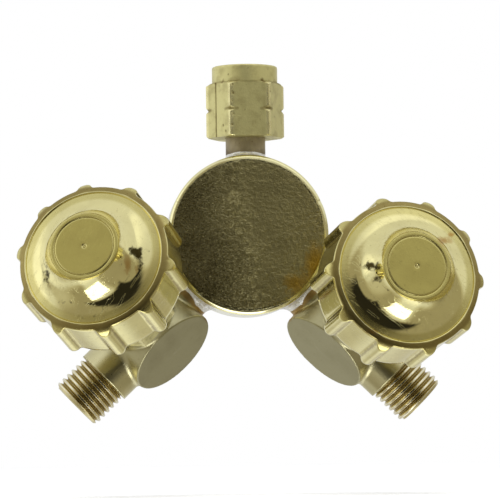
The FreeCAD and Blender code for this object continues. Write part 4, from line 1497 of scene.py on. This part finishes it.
def finishes() -> dict[str, bpy.types.Material]:
    """Make the materials.

    Returns:
        Each material, by the piece or the side that it is for.
    """
    made = {
        # Cast brass: a fine orange-peel skin, with painted shade that darkens it toward the left; its edges
        # were polished and show as a pale ring.
        "hub": Finish(
            "sand_cast_brass_polished_edges", "c2b884", "524b30", polished="f4ecb4", stain="c9a545",
            grain_mm=0.85, grain_depth_mm=0.13, roughness=0.38, dull_roughness=-0.13, blotch_mm=9.0,
            blotch_share=0.1, fleck_share=0.25, ragged=0.9,
        ),
        # Turned brass, handled: satin, with fine rings from the tool and brown flecks near its edges.
        "nut": Finish(
            "turned_brass_satin", "ded694", "84733e", polished="faf0b0", grain_mm=0.45, grain_depth_mm=0.03,
            roughness=0.4, polished_roughness=0.2, lay=Lay.TURNED, lay_depth_mm=0.003, blotch_mm=3.0,
            blotch_share=0.35, fleck_share=0.3, metallic=0.7,
        ),
        # The same brass beside a brazed joint: the flame left it grey-brown and dull.
        "nipple": Finish(
            "turned_brass_flame_dulled", "b3a684", "6b5c46", grain_mm=0.6, grain_depth_mm=0.03,
            roughness=0.45, lay=Lay.TURNED, blotch_share=0.5, fleck_share=0.5, metallic=0.6,
        ),
        # Forged brass, tumbled after milling: matte beige grey, without tool marks on its flats.
        "forging": Finish(
            "forged_brass_tumbled", "b0aa82", "857a54", polished="e4dba8", stain="b08a48", grain_mm=0.5,
            roughness=0.42, polished_roughness=0.26, blotch_mm=12.0, blotch_share=0.2, fleck_share=0.2,
        ),
        # Cut thread: bright crests, darker brown roots.
        "thread": Finish(
            "cut_brass_thread", "ddd09a", "96804c", polished="f8f1d4", grain_mm=0.3, grain_depth_mm=0.008,
            roughness=0.28, polished_roughness=0.14, lay=Lay.TURNED, blotch_share=0.15,
        ),
    }
    for side in Side:
        # Buffed brass: mirror flanks with fine swirls, a satin boss and brown lacquer in the turned edge.
        made[side.label] = Finish(
            f"buffed_brass_{side.label}", "c8bb6c", "735a28", polished="f1e7a6", stain="b5893f",
            grain_mm=0.45, grain_depth_mm=0.01, roughness=0.34, polished_roughness=0.05, lay=Lay.TURNED,
            lay_mm=0.6, seed=side.seed, blotch_share=0.12, fleck_share=0.15, ragged=0.9,
        )
    made |= {
        # Silver braze: froze bright and rippled, with tan flux left in its hollows.
        "braze": Finish(
            "silver_braze_as_frozen", "f6f5ee", "c4b798", polished="f6f4ee", grain_mm=1.1,
            grain_depth_mm=0.2, roughness=0.22, blotch_mm=2.0, blotch_share=0.45, fleck_share=0.3,
            metallic=0.35,
        ),
        # Ground steel: a near mirror, hardly marked, in the node's own millimetres like the two below.
        "ball": Finish(
            "ground_bearing_steel", "c9cacc", "8b8c8f", roughness=0.12, grain_depth_mm=0.001,
            blotch_share=0.1, fleck_share=0.0, coordinates=Coordinates.NODE,
        ),
        # Turned brass that nobody handled: clean and even.
        "hidden": Finish(
            "turned_brass_hidden", "cfc27c", "7a6a34", grain_mm=0.5, grain_depth_mm=0.008,
            coordinates=Coordinates.NODE,
        ),
        # Skived PTFE: waxy white, faintly mottled.
        "ptfe": Finish(
            "skived_ptfe", "f0efe9", "d9d6cb", roughness=0.42, grain_mm=0.3, grain_depth_mm=0.004,
            metallic=0.0, fleck_share=0.0, coordinates=Coordinates.NODE,
        ),
    }
    return {label: finish.build() for label, finish in made.items()}


def main() -> None:
    """Build the adapter piece by piece, then the studio."""
    logging.basicConfig(level=logging.INFO, format="%(name)s: %(message)s")
    made = finishes()
    HubDisc(made["hub"]).build()
    InletNipple(made["nipple"]).build()
    InletNut(made["nut"]).build()
    BrazeFillet("inlet", UP, NIPPLE_SHANK, 1.15, made["braze"], 0.7).build()
    for side in Side:
        name = side.label
        BrazeFillet(name, side.outlet, VALVE_SHANK, 2.1, made["braze"], side.seed).build()
        ValveForging(side, made["forging"]).build()
        OutletThread(side, made["thread"]).build()
        PackingNut(side, made["nut"]).build()
        Handwheel(side, made[name]).build()
        dress(f"{name}_stem_ball", made["ball"])
        dress(f"{name}_packing_ring", made["ptfe"])
        for part in ("valve_stem", "packing_washer", "gland"):
            dress(f"{name}_{part}", made["hidden"])
    Studio().build()


if __name__ == "__main__":
    main()
